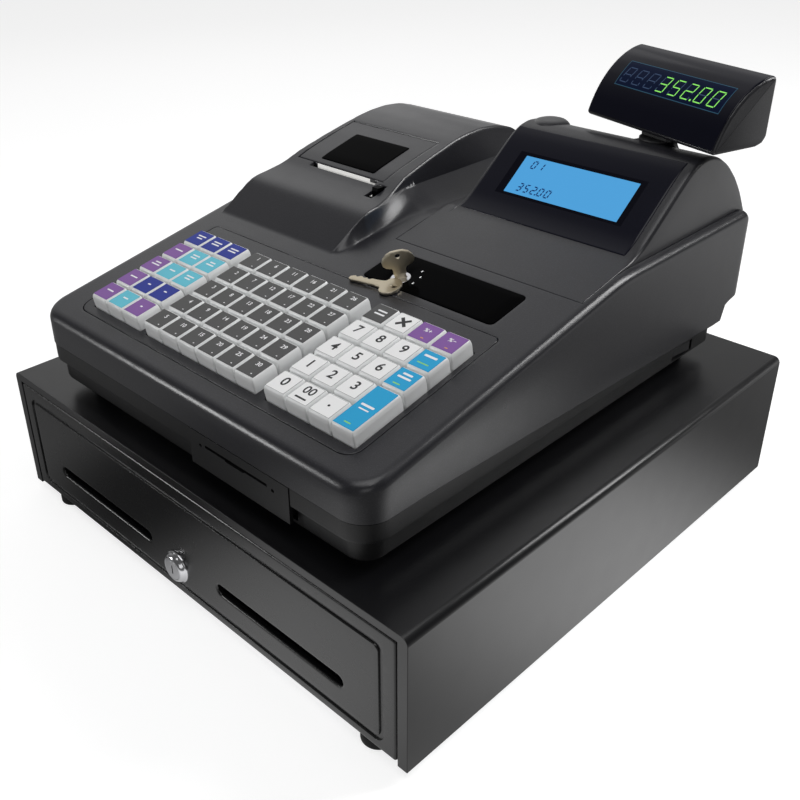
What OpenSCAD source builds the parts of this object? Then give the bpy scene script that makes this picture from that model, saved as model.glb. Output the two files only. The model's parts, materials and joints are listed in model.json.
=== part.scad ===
// Counter-top cash register standing on its steel cash drawer.
// +Z is up, the drawer opens towards -Y, +X is the right-hand side seen from the front.
// The origin is at counter level, about the middle of the footprint.

/* [Drawer cabinet] */
// Width of the steel cabinet
cab_w = 410; // [409:0.5:411]
// Depth of the steel cabinet
cab_d = 415; // [414.5:0.5:416]
// Height of the steel cabinet without its feet
cab_h = 100; // [100:0.5:101]
// Height of the rubber feet under the cabinet
foot_h = 8; // [6:0.5:12]
// Thickness of the cabinet steel
steel_t = 1.6; // [1.2:0.1:1.6]
// Radius of the long top edges of the cabinet
cab_edge_r = 5; // [3:0.5:6]
// Radius of the drawer rollers
roller_r = 9.5; // [9:0.05:9.5]

/* [Drawer] */
// Width of the drawer front plate
front_w = 393; // [391:0.5:394]
// Height of each opening for notes and slips in the drawer front
slot_h = 8; // [4:0.5:10]
// Length of each opening for notes and slips
slot_l = 117; // [90:1:120]
// Number of banknote compartments across the till
bill_n = 5; // [4:1:5]
// Number of coin cups across the coin tray
coin_cols = 4; // [3:1:4]

/* [Register case] */
// Width of the register case
case_w = 330; // [328:1:332]
// Wall thickness of the plastic mouldings
wall = 2.5; // [2:0.1:2.6]
// Slope of the keyboard deck in degrees
deck_ang = 11.2; // [11:0.1:11.4]
// Height of the deck plane where it would meet the front plane of the drawer
deck_z0 = 161.3; // [161:0.1:162]

/* [Keyboard] */
// Key pitch across the keyboard
pitch_x = 19.05; // [19:0.05:19.1]
// Key pitch up the slope
pitch_y = 20.39; // [20.3:0.01:20.5]
// Width of one key cap
key_w = 17.95; // [16:0.05:18]
// Length of one key cap up the slope
key_l = 19.3; // [17:0.1:19.4]
// Height of the key tops above the deck
key_h = 10; // [8:0.5:10]

/* [Customer display] */
// Heading of the customer display from straight ahead, in degrees
head_yaw = -16; // [-30:1:30]
// Width of the customer display head
head_w = 126; // [120:1:130]

/* [Hidden] */
$fn = 48;
// from the drawer's front plane back to the origin
origin_y = 204;

// ---------- helpers ----------
function unit(v) = v / norm(v);
function arc_points(centre, radius, from, to, steps = 8) = [for (i = [0:steps])
  let (angle = from + (to - from) * i / steps) centre + radius * [cos(angle), sin(angle)]];
// a counter-clockwise outline moved inwards
function inset(outline, distance) = let (n = len(outline)) [for (i = [0:n - 1])
  let (corner = outline[i],
       along_in = unit(corner - outline[(i + n - 1) % n]),
       along_out = unit(outline[(i + 1) % n] - corner),
       normal_in = [-along_in[1], along_in[0]],
       normal_out = [-along_out[1], along_out[0]])
  corner + distance * (normal_in + normal_out) / (1 + normal_in * normal_out)];

// the working frame: y = 0 at the drawer's front plane, z = 0 under the cabinet
module place() translate([0, -origin_y, foot_h]) children();
module both_sides() {
  children();
  mirror([1, 0, 0]) children();
}
// a Y-Z outline swept from x0 to x1
module side(outline, x0, x1)
  translate([x0, 0, 0]) rotate([90, 0, 90]) linear_extrude(x1 - x0) polygon(outline);
// a flat X-Z shape stood up from y0 to y1
module upright(y0, y1)
  translate([0, y1, 0]) rotate([90, 0, 0]) linear_extrude(y1 - y0) children();
// a cylinder along X, or along Y, from its low end
module xcyl(r, x0, x1, y, z) translate([x0, y, z]) rotate([0, 90, 0]) cylinder(r = r, h = x1 - x0);
module ycyl(r, x, y0, y1, z) translate([x, y0, z]) rotate([-90, 0, 0]) cylinder(r = r, h = y1 - y0);
// a block between two opposite corners
module box(low, high) translate(low) cube(high - low);
// a rectangle with its own radius at the front (low y) and rear (high y) corners
module plan(x0, x1, y0, y1, front_r, rear_r) {
  translate([x0 + front_r, y0]) square([x1 - x0 - 2 * front_r, y1 - y0]);
  translate([x0, y0 + front_r]) square([x1 - x0, y1 - y0 - front_r - rear_r]);
  translate([x0 + rear_r, y0 + front_r]) square([x1 - x0 - 2 * rear_r, y1 - y0 - front_r]);
  for (x = [x0 + front_r, x1 - front_r]) translate([x, y0 + front_r]) circle(front_r);
  for (x = [x0 + rear_r, x1 - rear_r]) translate([x, y1 - rear_r]) circle(rear_r);
}
// a slab centred on x = 0
module slab(z0, z1, half_w, y0, y1, front_r, rear_r)
  translate([0, 0, z0]) linear_extrude(z1 - z0) plan(-half_w, half_w, y0, y1, front_r, rear_r);

// ---------- steel cabinet ----------
rail_x = 204;
rail_y = [14, 400];
rail_z = [18, 42.5];
rail_lip_t = 1.5;
roller_z = 29.05;
front_roller_y = 26;
rear_roller_y = 350;
roller_pin_r = 2.5;
pin_head_r = 4;
pin_head_t = 1;
// the base pan ends and the thickness of its sheet
pan_x = 203.2;
pan_y = [14, 413.2];
pan_t = 1.4;

// end view of the cabinet, its top corners rounded; it runs 1 below z = 0
module cabinet_section(w, h, r) {
  translate([-w / 2, -1]) square([w, h - r + 1]);
  translate([-w / 2 + r, -1]) square([w - 2 * r, h + 1]);
  for (s = [-1, 1]) translate([s * (w / 2 - r), h - r]) circle(r);
}
module cabinet_shell() place() color([0.09, 0.09, 0.10]) {
  cabinet_box();
  cabinet_rails();
}
module cabinet_box() difference() {
  upright(0, cab_d) cabinet_section(cab_w, cab_h, cab_edge_r);
  upright(8, cab_d - steel_t)
    cabinet_section(cab_w - 2 * steel_t, cab_h - steel_t, cab_edge_r - steel_t);
  // opening for the drawer
  box([-197.5, -1, -2], [197.5, 9, 94]);
  // open underside
  box([-210, -1, -3], [210, 420, 0]);
  // round hole in the back
  ycyl(7, 150, 400, 420, 70);
}
// the drawer channels inside the cabinet, each with its front roller pin
module cabinet_rails() both_sides() {
  box([201.8, rail_y[0], rail_z[0]], [rail_x, rail_y[1], rail_z[1]]);
  box([191.5, rail_y[0], rail_z[0]], [rail_x, rail_y[1], rail_z[0] + rail_lip_t]);
  box([194, rail_y[0], rail_z[1] - rail_lip_t], [rail_x, rail_y[1], rail_z[1]]);
  xcyl(roller_pin_r, 192.4, 202, front_roller_y, roller_z);
  xcyl(pin_head_r, 192.4, 192.4 + pin_head_t, front_roller_y, roller_z);
}
// the cross slot shared by the base pan and the drawer floor
module floor_slot(z0, z1) box([-18, 24, z0], [18, 29, z1]);
module cabinet_base_pan() place() color([0.25, 0.25, 0.27]) difference() {
  union() {
    box([-pan_x, pan_y[0], 0], [pan_x, pan_y[1], pan_t]);
    box([-197, 4, 0], [197, 15, pan_t]);
    // upturned side edges
    both_sides() box([201.6, pan_y[0], 0], [pan_x, pan_y[1], 12]);
    // stiffening ribs
    for (x = [-120:80:120]) box([x - 4, 40, pan_t], [x + 4, 360, 3]);
  }
  floor_slot(-1, 2.5);
}
// feet on the counter, and pads between the cabinet and the register
module rubber_feet() place() color([0.05, 0.05, 0.05]) {
  for (x = [-170, 170], y = [13, 395]) translate([x, y, -foot_h]) {
    cylinder(r = 11, h = foot_h - 1);
    cylinder(r = 9, h = foot_h);
  }
  for (x = [-138, 138], y = [40, 365]) translate([x, y, cab_h]) cylinder(r = 10, h = 10);
}
module roller_pair(x0, y) both_sides() difference() {
  xcyl(roller_r, x0, x0 + 7, y, roller_z);
  xcyl(roller_pin_r + 0.06, x0 - 1, x0 + 8, y, roller_z);
}
module front_rollers() place() color([0.85, 0.85, 0.82]) roller_pair(193.6, front_roller_y);
module rear_rollers() place() color([0.85, 0.85, 0.82]) roller_pair(192.5, rear_roller_y);

// ---------- drawer latch ----------
plunger_y = 397;
plunger_r = 3.5;
hook_pivot_y = 408;
hook_pivot_z = 38;
hook_pivot_r = 1.6;
// hook seen from the side: [y, z], its beak at the front
hook_side = [
  [374, 33.4], [404, 33.4], [411, 34.5], [412, 41], [404, 42], [379, 41], [377.5, 47], [374, 45]
];

module latch_solenoid() place() color([0.55, 0.56, 0.58]) difference() {
  union() {
    // coil body
    box([-14, 388, pan_t], [14, 406, 22]);
    // ears that carry the hook pivot
    both_sides() box([6.5, 404, pan_t], [9, 412, 44]);
    xcyl(hook_pivot_r, -8, 8, hook_pivot_y, hook_pivot_z);
    // foot plate
    box([-22, 384, pan_t], [22, 412, 2.6]);
  }
  translate([0, plunger_y, 3.4]) cylinder(r = plunger_r + 0.06, h = 40);
}
module latch_plunger() place() color([0.75, 0.75, 0.77]) translate([0, plunger_y, 7]) {
  cylinder(r = plunger_r, h = 22.5);
  cylinder(r = 1.5, h = 24);
}
module latch_hook() place() color([0.66, 0.62, 0.50]) difference() {
  side(hook_side, -4, 4);
  xcyl(hook_pivot_r + 0.05, -10, 10, hook_pivot_y, hook_pivot_z);
}
// rings of points along a coil spring whose axis is Y
function coil_points(turns, radius, wire_r, length, steps, sides) = [for (i = [0:steps])
  let (turn = 360 * turns * i / steps,
       outward = [cos(turn), 0, sin(turn)],
       centre = radius * outward + [0, length * i / steps, 0])
  for (k = [0:sides - 1])
    centre + wire_r * (cos(360 * k / sides) * outward + sin(360 * k / sides) * [0, 1, 0])];
module coil(turns, radius, wire_r, length, steps = 72, sides = 6) polyhedron(
  points = coil_points(turns, radius, wire_r, length, steps, sides),
  faces = concat(
    [for (i = [0:steps - 1], k = [0:sides - 1]) let (next = (k + 1) % sides)
      [i * sides + k, i * sides + next, (i + 1) * sides + next, (i + 1) * sides + k]],
    [[for (k = [0:sides - 1]) sides - 1 - k]],
    [[for (k = [0:sides - 1]) steps * sides + k]]));
module eject_springs() place() color([0.75, 0.76, 0.78])
  for (x = [-110, 110]) translate([x, 374.2, 52])
    coil(turns = 6, radius = 7, wire_r = 0.9, length = 38);

// ---------- drawer ----------
front_z = [2, 93.4];
front_t = 2.4;
front_flange_t = 1.2;
// back of the front's flanges, where the drawer box starts
box_y = 12;
box_back_y = 372;
// inner end and height of the openings for notes and slips
slot_x = 37;
slot_z = 32;
drawer_lock_x = -7;
drawer_lock_z = 24.5;
lock_barrel_r = 7.6;

// margin widens the openings all round
module media_slots(y0, y1, margin) {
  x0 = slot_x + slot_h / 2;
  x1 = slot_x + slot_l - slot_h / 2;
  r = slot_h / 2 + margin;
  both_sides() {
    box([x0, y0, slot_z - r], [x1, y1, slot_z + r]);
    for (x = [x0, x1]) ycyl(r, x, y0, y1, slot_z);
  }
}
module round_face(w, z0, z1, r) {
  translate([-w / 2 + r, z0]) square([w - 2 * r, z1 - z0]);
  translate([-w / 2, z0 + r]) square([w, z1 - z0 - 2 * r]);
  for (s = [-1, 1], z = [z0 + r, z1 - r]) translate([s * (w / 2 - r), z]) circle(r);
}
module drawer_front() place() color([0.10, 0.10, 0.11]) difference() {
  half_w = front_w / 2;
  union() {
    box([-half_w, 0, front_z[0]], [half_w, front_t, front_z[1]]);
    for (z = [front_z[0], front_z[1] - front_flange_t])
      box([-half_w, 2, z], [half_w, box_y, z + front_flange_t]);
    both_sides() box([half_w - front_flange_t, 2, front_z[0]], [half_w, box_y, front_z[1]]);
    // bosses behind the plate
    both_sides() for (z = [16, 62]) ycyl(5, 170, 2, box_y, z);
  }
  // groove framing the face
  upright(-1, 1) difference() {
    round_face(374, 8, 84.5, 6);
    round_face(366, 12, 80.5, 4);
  }
  media_slots(-1, 5, 0);
  ycyl(10.6, drawer_lock_x, -1, 5, drawer_lock_z);
}
module drawer_box() place() color([0.60, 0.61, 0.63]) {
  difference() {
    box([-188, box_y, 6], [188, box_back_y, 72]);
    box([-186.8, box_y + 1.2, 7.2], [186.8, box_back_y - 1.2, 80]);
    media_slots(11, 14, 1.5);
    ycyl(12, drawer_lock_x, 11, 14, drawer_lock_z);
    floor_slot(5, 8);
  }
  // latch catch: two lugs and a cross pin
  both_sides() box([7.5, 371.5, 48], [10, 385, 62]);
  xcyl(2, -9, 9, 382.5, 52);
  both_sides() drawer_runner();
}
// an angle that rides on the front roller, with the pin of the rear roller
module drawer_runner() {
  box([187.5, 16, 28], [189.2, box_back_y, 40.1]);
  box([188, 16, 38.6], [197, box_back_y, 40.1]);
  box([187.5, rear_roller_y - 10, 24], [189.2, rear_roller_y + 10, 40.1]);
  xcyl(roller_pin_r, 188, 200.8, rear_roller_y, roller_z);
  xcyl(pin_head_r, 200.8 - pin_head_t, 200.8, rear_roller_y, roller_z);
}

// ---------- till ----------
bill_span = 370;
bill_pitch = bill_span / bill_n;
// left edge of compartment i; i + 0.5 gives its middle
function bill_x(i) = -bill_span / 2 + i * bill_pitch;
till_floor_z = 9.4;
clip_axle_y = 357;
clip_axle_z = 55;
clip_axle_r = 2;
coin_span = 364;
coin_pitch = coin_span / coin_cols;
cup_r = 34;
cup_row_pitch = 70.6;
// half the wall between two cups
cup_wall = 1.2;
// bill clip seen from the side: [y, z], from the axle down to the front tip
clip_side = [[356, 51], [353.5, 57.5], [290, 24], [276, 21.5], [276, 18.5], [292, 20]];

module till_tray() place() color([0.13, 0.13, 0.14]) difference() {
  box([-186, 34, 7.4], [186, 368, 62]);
  for (i = [0:bill_n - 1]) {
    box([bill_x(i) + 1, 182, till_floor_z], [bill_x(i + 1) - 1, 366, 70]);
    // notch in the floor and rear wall
    box([bill_x(i + 0.5) - 16, 340, 5], [bill_x(i + 0.5) + 16, 369, 9.5]);
  }
  // well for the coin tray
  box([-184, 36, till_floor_z], [184, 180, 70]);
  xcyl(clip_axle_r + 0.05, -190, 190, clip_axle_y, clip_axle_z);
}
module coin_tray() place() color([0.16, 0.16, 0.17]) difference() {
  box([-183.6, 36.4, 9.5], [183.6, 179.6, 58]);
  for (i = [0:coin_cols - 1], j = [0, 1])
    coin_cup(-coin_span / 2 + i * coin_pitch + cup_wall, 38 + j * cup_row_pitch);
}
// the hollow of one cup: a round bottom along X, its floor cut flat
module coin_cup(x0, y0) {
  x1 = x0 + coin_pitch - 2 * cup_wall;
  y1 = y0 + 2 * cup_r;
  intersection() {
    union() {
      xcyl(cup_r, x0, x1, y0 + cup_r, 46);
      box([x0, y0, 46], [x1, y1, 70]);
    }
    box([x0, y0, 12], [x1, y1, 70]);
  }
}
module clip_axle() place() color([0.75, 0.76, 0.78])
  xcyl(clip_axle_r, -186, 186, clip_axle_y, clip_axle_z);
module bill_clips() place() color([0.12, 0.12, 0.13])
  for (i = [0:bill_n - 1]) translate([bill_x(i + 0.5), 0, 0]) difference() {
    union() {
      xcyl(5, -11, 11, clip_axle_y, clip_axle_z);
      side(clip_side, -9, 9);
    }
    xcyl(clip_axle_r + 0.06, -20, 20, clip_axle_y, clip_axle_z);
  }

// ---------- drawer lock ----------
module lock_bezel() place() color([0.80, 0.80, 0.82]) difference() {
  union() {
    ycyl(12, drawer_lock_x, -1.2, 0, drawer_lock_z);
    translate([drawer_lock_x, -5, drawer_lock_z]) rotate([-90, 0, 0])
      cylinder(r1 = 9, r2 = 12, h = 3.8);
    ycyl(10.5, drawer_lock_x, -1, 24, drawer_lock_z);
  }
  ycyl(lock_barrel_r + 0.05, drawer_lock_x, -10, 30, drawer_lock_z);
}
module lock_barrel() place() color([0.72, 0.72, 0.74]) translate([drawer_lock_x, 0, drawer_lock_z]) {
  // barrel with its keyhole
  difference() {
    ycyl(lock_barrel_r, 0, -5, 24.6, 0);
    box([-0.7, -9, -3.5], [0.7, 6, 3.5]);
  }
  // cam at the rear
  ycyl(7.4, 0, 24.8, 27, 0);
  box([0, 24.8, -5], [24, 27, 5]);
  ycyl(2.5, 0, 24, 28.5, 0);
}

// ---------- register case ----------
case_front = 10;
case_back = 416;
case_top = 210;
case_front_r = 20;
case_rear_r = 12;
nose_r = 8;
nose_y = case_front + nose_r;
function deck(y) = deck_z0 + tan(deck_ang) * y;
// the sloping deck: x across, y up the slope, z out of the deck
module on_deck() translate([0, 0, deck_z0]) rotate([deck_ang, 0, 0]) children();

// top case seen from the side: [y, z], up the back, down the deck, round the nose
case_side = concat(
  [
    [case_front, 140], [60, 140], [388, 127.4], [392, 140], [411, 143.5],
    [case_back, 150], [case_back, 203], [413, 208], [406, case_top],
    [(case_top - deck_z0) / tan(deck_ang), case_top]
  ],
  arc_points([nose_y, deck(nose_y) - nose_r / cos(deck_ang)], nose_r, 90 + deck_ang, 180));
// printer pod, left rear: [y, z] from the side, then [x, z] from the front
printer_side = [
  [168.5, 188], [408, 188], [412.5, 208], [401, 226], [383, 239], [364, 244.3], [346, 246],
  [328, 245.3], [312, 243.2], [300, 240.5], [283, 237], [267, 233], [252, 229.2], [243, 226],
  [232, 221.6], [220, 219.2], [204, 216.9], [199.5, 215.6], [169, 194.5]
];
printer_face = [
  [-153, 180], [-21, 180], [-22, 200], [-24.5, 214], [-31, 221], [-35.5, 229],
  [-37.5, 248], [-144, 248], [-145, 235], [-148.5, 222], [-152, 214], [-153, 200]
];
// display pod, right rear: [y, z] from the side, then [x, z] from the front
display_side = [
  [207.3, 150], [412, 150], [412, 208], [401, 225], [390, 238], [377, 249.5], [364, 257.2],
  [352, 261.3], [342, 262], [333, 260.3], [325, 256.6], [317, 251], [300, 238], [285, 226.6],
  [276, 219.8], [269, 216], [260, deck(260)], [207.3, deck(207.3)]
];
display_face = [
  [0.5, 140], [157.5, 140], [157.4, 215], [157, 240], [156, 264],
  [10.2, 264], [9.4, 240], [8.8, 216], [7.8, 213.6], [0.5, 213.4]
];
// printer cover hinge and the screw posts under the printer
hinge_y = 302;
hinge_z = 239.2;
printer_post_x = [-134, -42];
printer_post_y = [206, 298];
// power rocker pivot
rocker_x = 154.5;
rocker_y = 345;
// card slot cover: [low, high] in x, and its lower edge
card_x = [11, 104];
card_z = 114;
// round turret on the display pod
turret_x = 25.5;
turret_y = 350;
turret_r = 15.4;

// the printer pod's body, its outlines moved inwards by depth
module printer_pod(depth) intersection() {
  side(depth > 0 ? inset(printer_side, depth) : printer_side, -160, -15);
  upright(150, 420) polygon(depth > 0 ? inset(printer_face, depth) : printer_face);
}
module case_outer() {
  intersection() {
    side(case_side, -case_w / 2, case_w / 2);
    slab(100, 230, case_w / 2, case_front, case_back, case_front_r, case_rear_r);
  }
  printer_pod(0);
}
module case_inner() {
  intersection() {
    union() {
      side(inset(case_side, wall), -170, 170);
      box([-170, 12.6, 90], [170, 385.4, 150]);
    }
    slab(80, 230, case_w / 2 - wall, case_front + wall, case_back - wall,
      case_front_r - wall, case_rear_r - wall);
  }
  printer_pod(wall);
}
module top_case() place() color([0.17, 0.17, 0.18]) difference() {
  case_outer();
  case_inner();
  on_deck() {
    translate([0, 0, -8]) linear_extrude(20) key_panel_outline(0.4);
    translate([0, 0, -1.2]) linear_extrude(8) mode_plate_outline(0.3);
    translate([mode_lock_x, mode_lock_y, -8]) cylinder(r = 7.6, h = 20);
  }
  // under the display pod
  box([0.2, 207, 190], [157.8, 412.3, 225]);
  // printer cover and its hinge holes
  box([-141, 241, 205], [-45, 304.6, 260]);
  xcyl(0.85, -143.5, -42.5, hinge_y, hinge_z);
  // paper exit
  box([-122, 236.4, 215], [-50, 242, 260]);
  // cover lever
  box([-46, 221.6, 210], [-38.4, 238, 260]);
  // louvres in the back
  for (z = [150:6:174]) box([-60, 405, z], [60, 420, z + 2.6]);
}
module base_case() place() color([0.15, 0.15, 0.16]) difference() {
  union() {
    base_tub();
    // short posts under the main board, tall posts under the printer
    for (x = [30, 130], y = [120, 210]) translate([x, y, 112]) cylinder(r = 4, h = 8);
    for (x = printer_post_x, y = printer_post_y) translate([x, y, 112]) cylinder(r = 4, h = 58);
    // lug above the power rocker
    box([150.5, rocker_y - 6, 124.6], [158, rocker_y + 6, 126.6]);
  }
  box([card_x[0] - 0.3, 5, card_z - 0.3], [card_x[1] + 0.3, 20, 142]);
  // recess and pivot hole of the power rocker
  box([150, rocker_y - 12, 113.4], [170, rocker_y + 12, 124.6]);
  translate([rocker_x, rocker_y, 111]) cylinder(r = 1.55, h = 20);
  // slots in the back
  for (x = [-70:10:-30]) box([x, 378, 115], [x + 5, 392, 123]);
}
// an open tub, stepped in at the bottom and cut to the seam with the top case
module base_tub() difference() {
  intersection() {
    union() {
      slab(125, 141, 164.5, 10.5, 388, 19.5, 8);
      slab(110, 126, 160, 15, 385, 15, 6);
    }
    side([[0, 100], [420, 100], [420, 126.9], [388, 127.1], [60, 139.6], [0, 139.6]], -180, 180);
  }
  slab(112.5, 150, 157.5, 17.5, 382.5, 12.5, 4);
  slab(127.5, 150, 162, 13, 385.5, 17, 6);
}
module card_slot_cover() place() color([0.15, 0.15, 0.16]) difference() {
  union() {
    box([card_x[0], 10, card_z], [card_x[1], 12.6, 139.4]);
    box([card_x[0] + 3, 12, 116], [card_x[1] - 3, 17.4, 138.5]);
  }
  // slot with a wider middle, and two screw holes
  box([26.5, 5, 130.8], [85, 15, 132.8]);
  box([46, 5, 129.8], [64, 15, 131]);
  for (x = [21.7, 90]) ycyl(1.3, x, 5, 14, 130.5);
}

// ---------- display pod ----------
pod_wall = 2.2;
pod_lens_x = [11.4, 150];
lens_gap = 0.15;
// slope of the pod that carries the lens: [y, z], from the foot up
pod_lens_line = [
  [264, 214.21], [269, 216], [276, 219.8], [285, 226.6],
  [300, 238], [317, 251], [325, 256.6], [331, 259.4]
];

// a line made longer by extra at each end
function stretch(line, extra, low_dir, high_dir) = [for (i = [0:len(line) - 1])
  line[i] + (i == 0 ? -extra * low_dir : i == len(line) - 1 ? extra * high_dir : [0, 0])];
// a lens outline: the line shifted to its outer and inner faces; gap enlarges its pocket
function lens_band(line, gap, low_dir, high_dir, outer, inner) =
  let (long_line = stretch(line, gap * 1.4, low_dir, high_dir))
  concat([for (p = long_line) p + outer],
    [for (i = [len(long_line) - 1:-1:0]) long_line[i] + inner + gap * [0.6, -0.8]]);
function pod_lens(gap) =
  lens_band(pod_lens_line, gap, [0.94, 0.34], [0.91, 0.42], [-0.35, 0.45], [0.62, -0.8]);

module display_pod() place() color([0.16, 0.16, 0.18]) difference() {
  union() {
    pod_shell();
    at_stem() translate([0, 0, 232]) cylinder(r = 14, h = 29.8);
    translate([turret_x, turret_y, 242]) cylinder(r = turret_r, h = 16.5);
    translate([turret_x, turret_y, 258.5]) cylinder(r1 = turret_r, r2 = 9, h = 4.7);
  }
  at_stem() translate([0, 0, 225]) cylinder(r = stem_r + 0.06, h = 50);
  translate([turret_x, turret_y, 236]) cylinder(r = 12, h = 21);
  side(pod_lens(lens_gap), pod_lens_x[0] - 0.2, pod_lens_x[1] + 0.2);
  // window for the LCD
  box([33, 284, 222], [128, 311, 250]);
}
// the hollow pod, cut off below to sit on the deck and the case top
module pod_shell() difference() {
  intersection() {
    side(display_side, 0, 158);
    upright(200, 420) polygon(display_face);
    side([[200, deck(200) - 2.4], [243, 207.2], [420, 207.2], [420, 300], [200, 300]], -1, 160);
  }
  intersection() {
    side(inset(display_side, pod_wall), -1, 160);
    upright(200, 420) polygon(inset(display_face, pod_wall));
  }
}
module display_lens() place() color([0.05, 0.05, 0.10])
  side(pod_lens(0), pod_lens_x[0], pod_lens_x[1]);
// glass on top of its housing, parallel to the lens
module lcd_module() place() color([0.25, 0.55, 0.85])
  translate([80.5, 297, 235.7]) rotate([37.4, 0, 0]) {
    box([-46.3, -16.6, -5.5], [46.3, 16.6, -2.6]);
    box([-52, -22, -14], [52, 22, -5.5]);
  }

// ---------- keyboard ----------
panel_x = 138;
panel_y = [27.5, 155.5];
key_rows = 5;
well_gap = 0.7;
// blocks of keys, and the x of the first key centre of each
function_block = 0;
department_block = 1;
number_block = 2;
block_x = [-118.6, -55.2, 67.5];
first_row_y = 44.85;
white_key = [0.93, 0.94, 0.93];
blue_key = [0.12, 0.62, 0.86];

function key_x(block, column) = block_x[block] + pitch_x * column;
function key_y(row) = first_row_y + pitch_y * row;
module key_panel_outline(gap)
  plan(-panel_x - gap, panel_x + gap, panel_y[0] - gap, panel_y[1] + gap, 10 + gap, 4 + gap);
module key_well(block, columns) {
  half_w = key_w / 2 + well_gap;
  half_l = key_l / 2 + well_gap;
  box([key_x(block, 0) - half_w, key_y(0) - half_l, -10],
    [key_x(block, columns - 1) + half_w, key_y(key_rows - 1) + half_l, 10]);
}
module keyboard_panel() place() color([0.18, 0.18, 0.19]) on_deck() difference() {
  union() {
    translate([0, 0, -2.4]) linear_extrude(2.4) key_panel_outline(0);
    // skirt down to the board
    difference() {
      box([-panel_x + 3, panel_y[0] + 3, -9.4], [panel_x - 3, panel_y[1] - 3, -2.2]);
      box([-panel_x + 5, panel_y[0] + 5, -12], [panel_x - 5, panel_y[1] - 5, -2]);
    }
  }
  key_well(function_block, 3);
  key_well(department_block, 6);
  key_well(number_block, 4);
}
module keyboard_board() place() color([0.10, 0.32, 0.18]) on_deck()
  box([-134, 31, -11.1], [134, 152, -9.5]);
// one key cap, rows long, with its lower part in the well and a stem below
module cap(block, column, row, rows = 1)
  translate([key_x(block, column), key_y(row) + (rows - 1) * pitch_y / 2, 0]) {
    half_w = key_w / 2;
    half_l = (key_l + (rows - 1) * pitch_y) / 2;
    rim = 0.55;
    box([-half_w, -half_l, -4], [half_w, half_l, key_h - 3]);
    box([-half_w + rim, -half_l + rim, 0], [half_w - rim, half_l - rim, key_h]);
    translate([0, 0, -6.3]) cylinder(r = 1.8, h = 4);
  }
module one_key(column, row, tint = white_key, rows = 1)
  place() color(tint) on_deck() cap(number_block, column, row, rows);
module key_0() one_key(0, 0);
module key_00() one_key(1, 0);
module key_point() one_key(2, 0);
module key_1() one_key(0, 1);
module key_2() one_key(1, 1);
module key_3() one_key(2, 1);
module key_4() one_key(0, 2);
module key_5() one_key(1, 2);
module key_6() one_key(2, 2);
module key_7() one_key(0, 3);
module key_8() one_key(1, 3);
module key_9() one_key(2, 3);
module cash_key() one_key(3, 0, blue_key, rows = 2);
module subtotal_key() one_key(3, 2, blue_key);
module card_key() one_key(3, 3, blue_key);
module department_keys() place() color([0.33, 0.33, 0.34]) on_deck()
  for (i = [0:5], j = [0:key_rows - 1]) cap(department_block, i, j);
// the left block, and the top row of the number block
module function_keys() place() color([0.50, 0.33, 0.62]) on_deck() {
  for (i = [0:2], j = [0:key_rows - 1]) cap(function_block, i, j);
  for (i = [0:3]) cap(number_block, i, 4);
}

// ---------- printer ----------
platen_y = 233;
platen_z = 208;
platen_axle_r = 2;
roll_y = 291;
roll_z = 200;
spool_r = 6;
// the paper, [left, right]
paper_x = [-115, -57];
lever_y = 231;
lever_z = 198;
lever_pin_r = 1.5;
// outer face of the printer cover from rear to front: [y, z]
cover_line = [[299.8, 240.45], [283, 237], [267, 233], [252, 229.2], [243, 226], [241.5, 225.4]];
// side views, [y, z]
window_side = [
  [246.4, 226.75], [287.6, 237.35], [287.6, 238.5], [267, 233.55], [252, 229.8], [246.4, 227.9]
];
web_side = [
  [291, 225.3], [283, 224.9], [239.6, 211], [239.3, 226.6],
  [239.0, 226.6], [239.2, 210.5], [283.1, 224.6], [291, 225.05]
];
lever_side = [[229, 195], [233, 195], [234.5, 212], [236, 224.5], [229.5, 224.5], [229, 212]];

module printer_cover() place() color([0.15, 0.15, 0.16]) difference() {
  union() {
    side(concat([for (i = [len(cover_line) - 1:-1:0]) cover_line[i] + [0.5, -2.3]], cover_line),
      -140.6, -45.4);
    // hinge knuckles, their arms and the pin
    for (x = [-136, -98, -58]) {
      xcyl(2.1, x, x + 10, hinge_y, hinge_z);
      side([[297, 236.6], [302, 237.6], [302, 240.8], [297, 239.9]], x, x + 10);
    }
    xcyl(0.8, -143, -43, hinge_y, hinge_z);
  }
  side([[246, 226.6], [288, 237.4], [288, 242], [246, 232]], -121, -61);
}
module printer_window() place() color([0.06, 0.06, 0.07]) side(window_side, -120.6, -61.4);
module print_mechanism() place() color([0.50, 0.51, 0.53]) difference() {
  union() {
    // side plates
    for (x = [-126, -49]) {
      box([x, 204, 170], [x + 2, 246, 212.5]);
      box([x, 244, 170], [x + 2, 300, 206]);
    }
    // cross blocks in front of the platen
    box([-124.5, 206, 190], [-48.5, 222, 206]);
    box([-120, 221, 203], [-52, 226.6, 212]);
    // spool for the paper roll
    xcyl(spool_r, -124.5, -48.5, roll_y, roll_z);
    // base plate
    box([-140, 200, 170], [-36, 304, 172]);
  }
  xcyl(platen_axle_r + 0.05, -130, -40, platen_y, platen_z);
  xcyl(lever_pin_r + 0.05, -51, -40, lever_y, lever_z);
  for (x = printer_post_x, y = printer_post_y) translate([x, y, 165]) cylinder(r = 1.8, h = 10);
}
module platen_roller() place() color([0.10, 0.10, 0.10]) {
  xcyl(6, -121, -51, platen_y, platen_z);
  xcyl(platen_axle_r, -128, -46.4, platen_y, platen_z);
}
module paper_roll() place() color([0.95, 0.95, 0.93]) difference() {
  xcyl(25, paper_x[0], paper_x[1], roll_y, roll_z);
  xcyl(spool_r + 0.06, -120, -50, roll_y, roll_z);
}
module paper_web() place() color([0.97, 0.97, 0.95]) side(web_side, paper_x[0], paper_x[1]);
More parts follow.
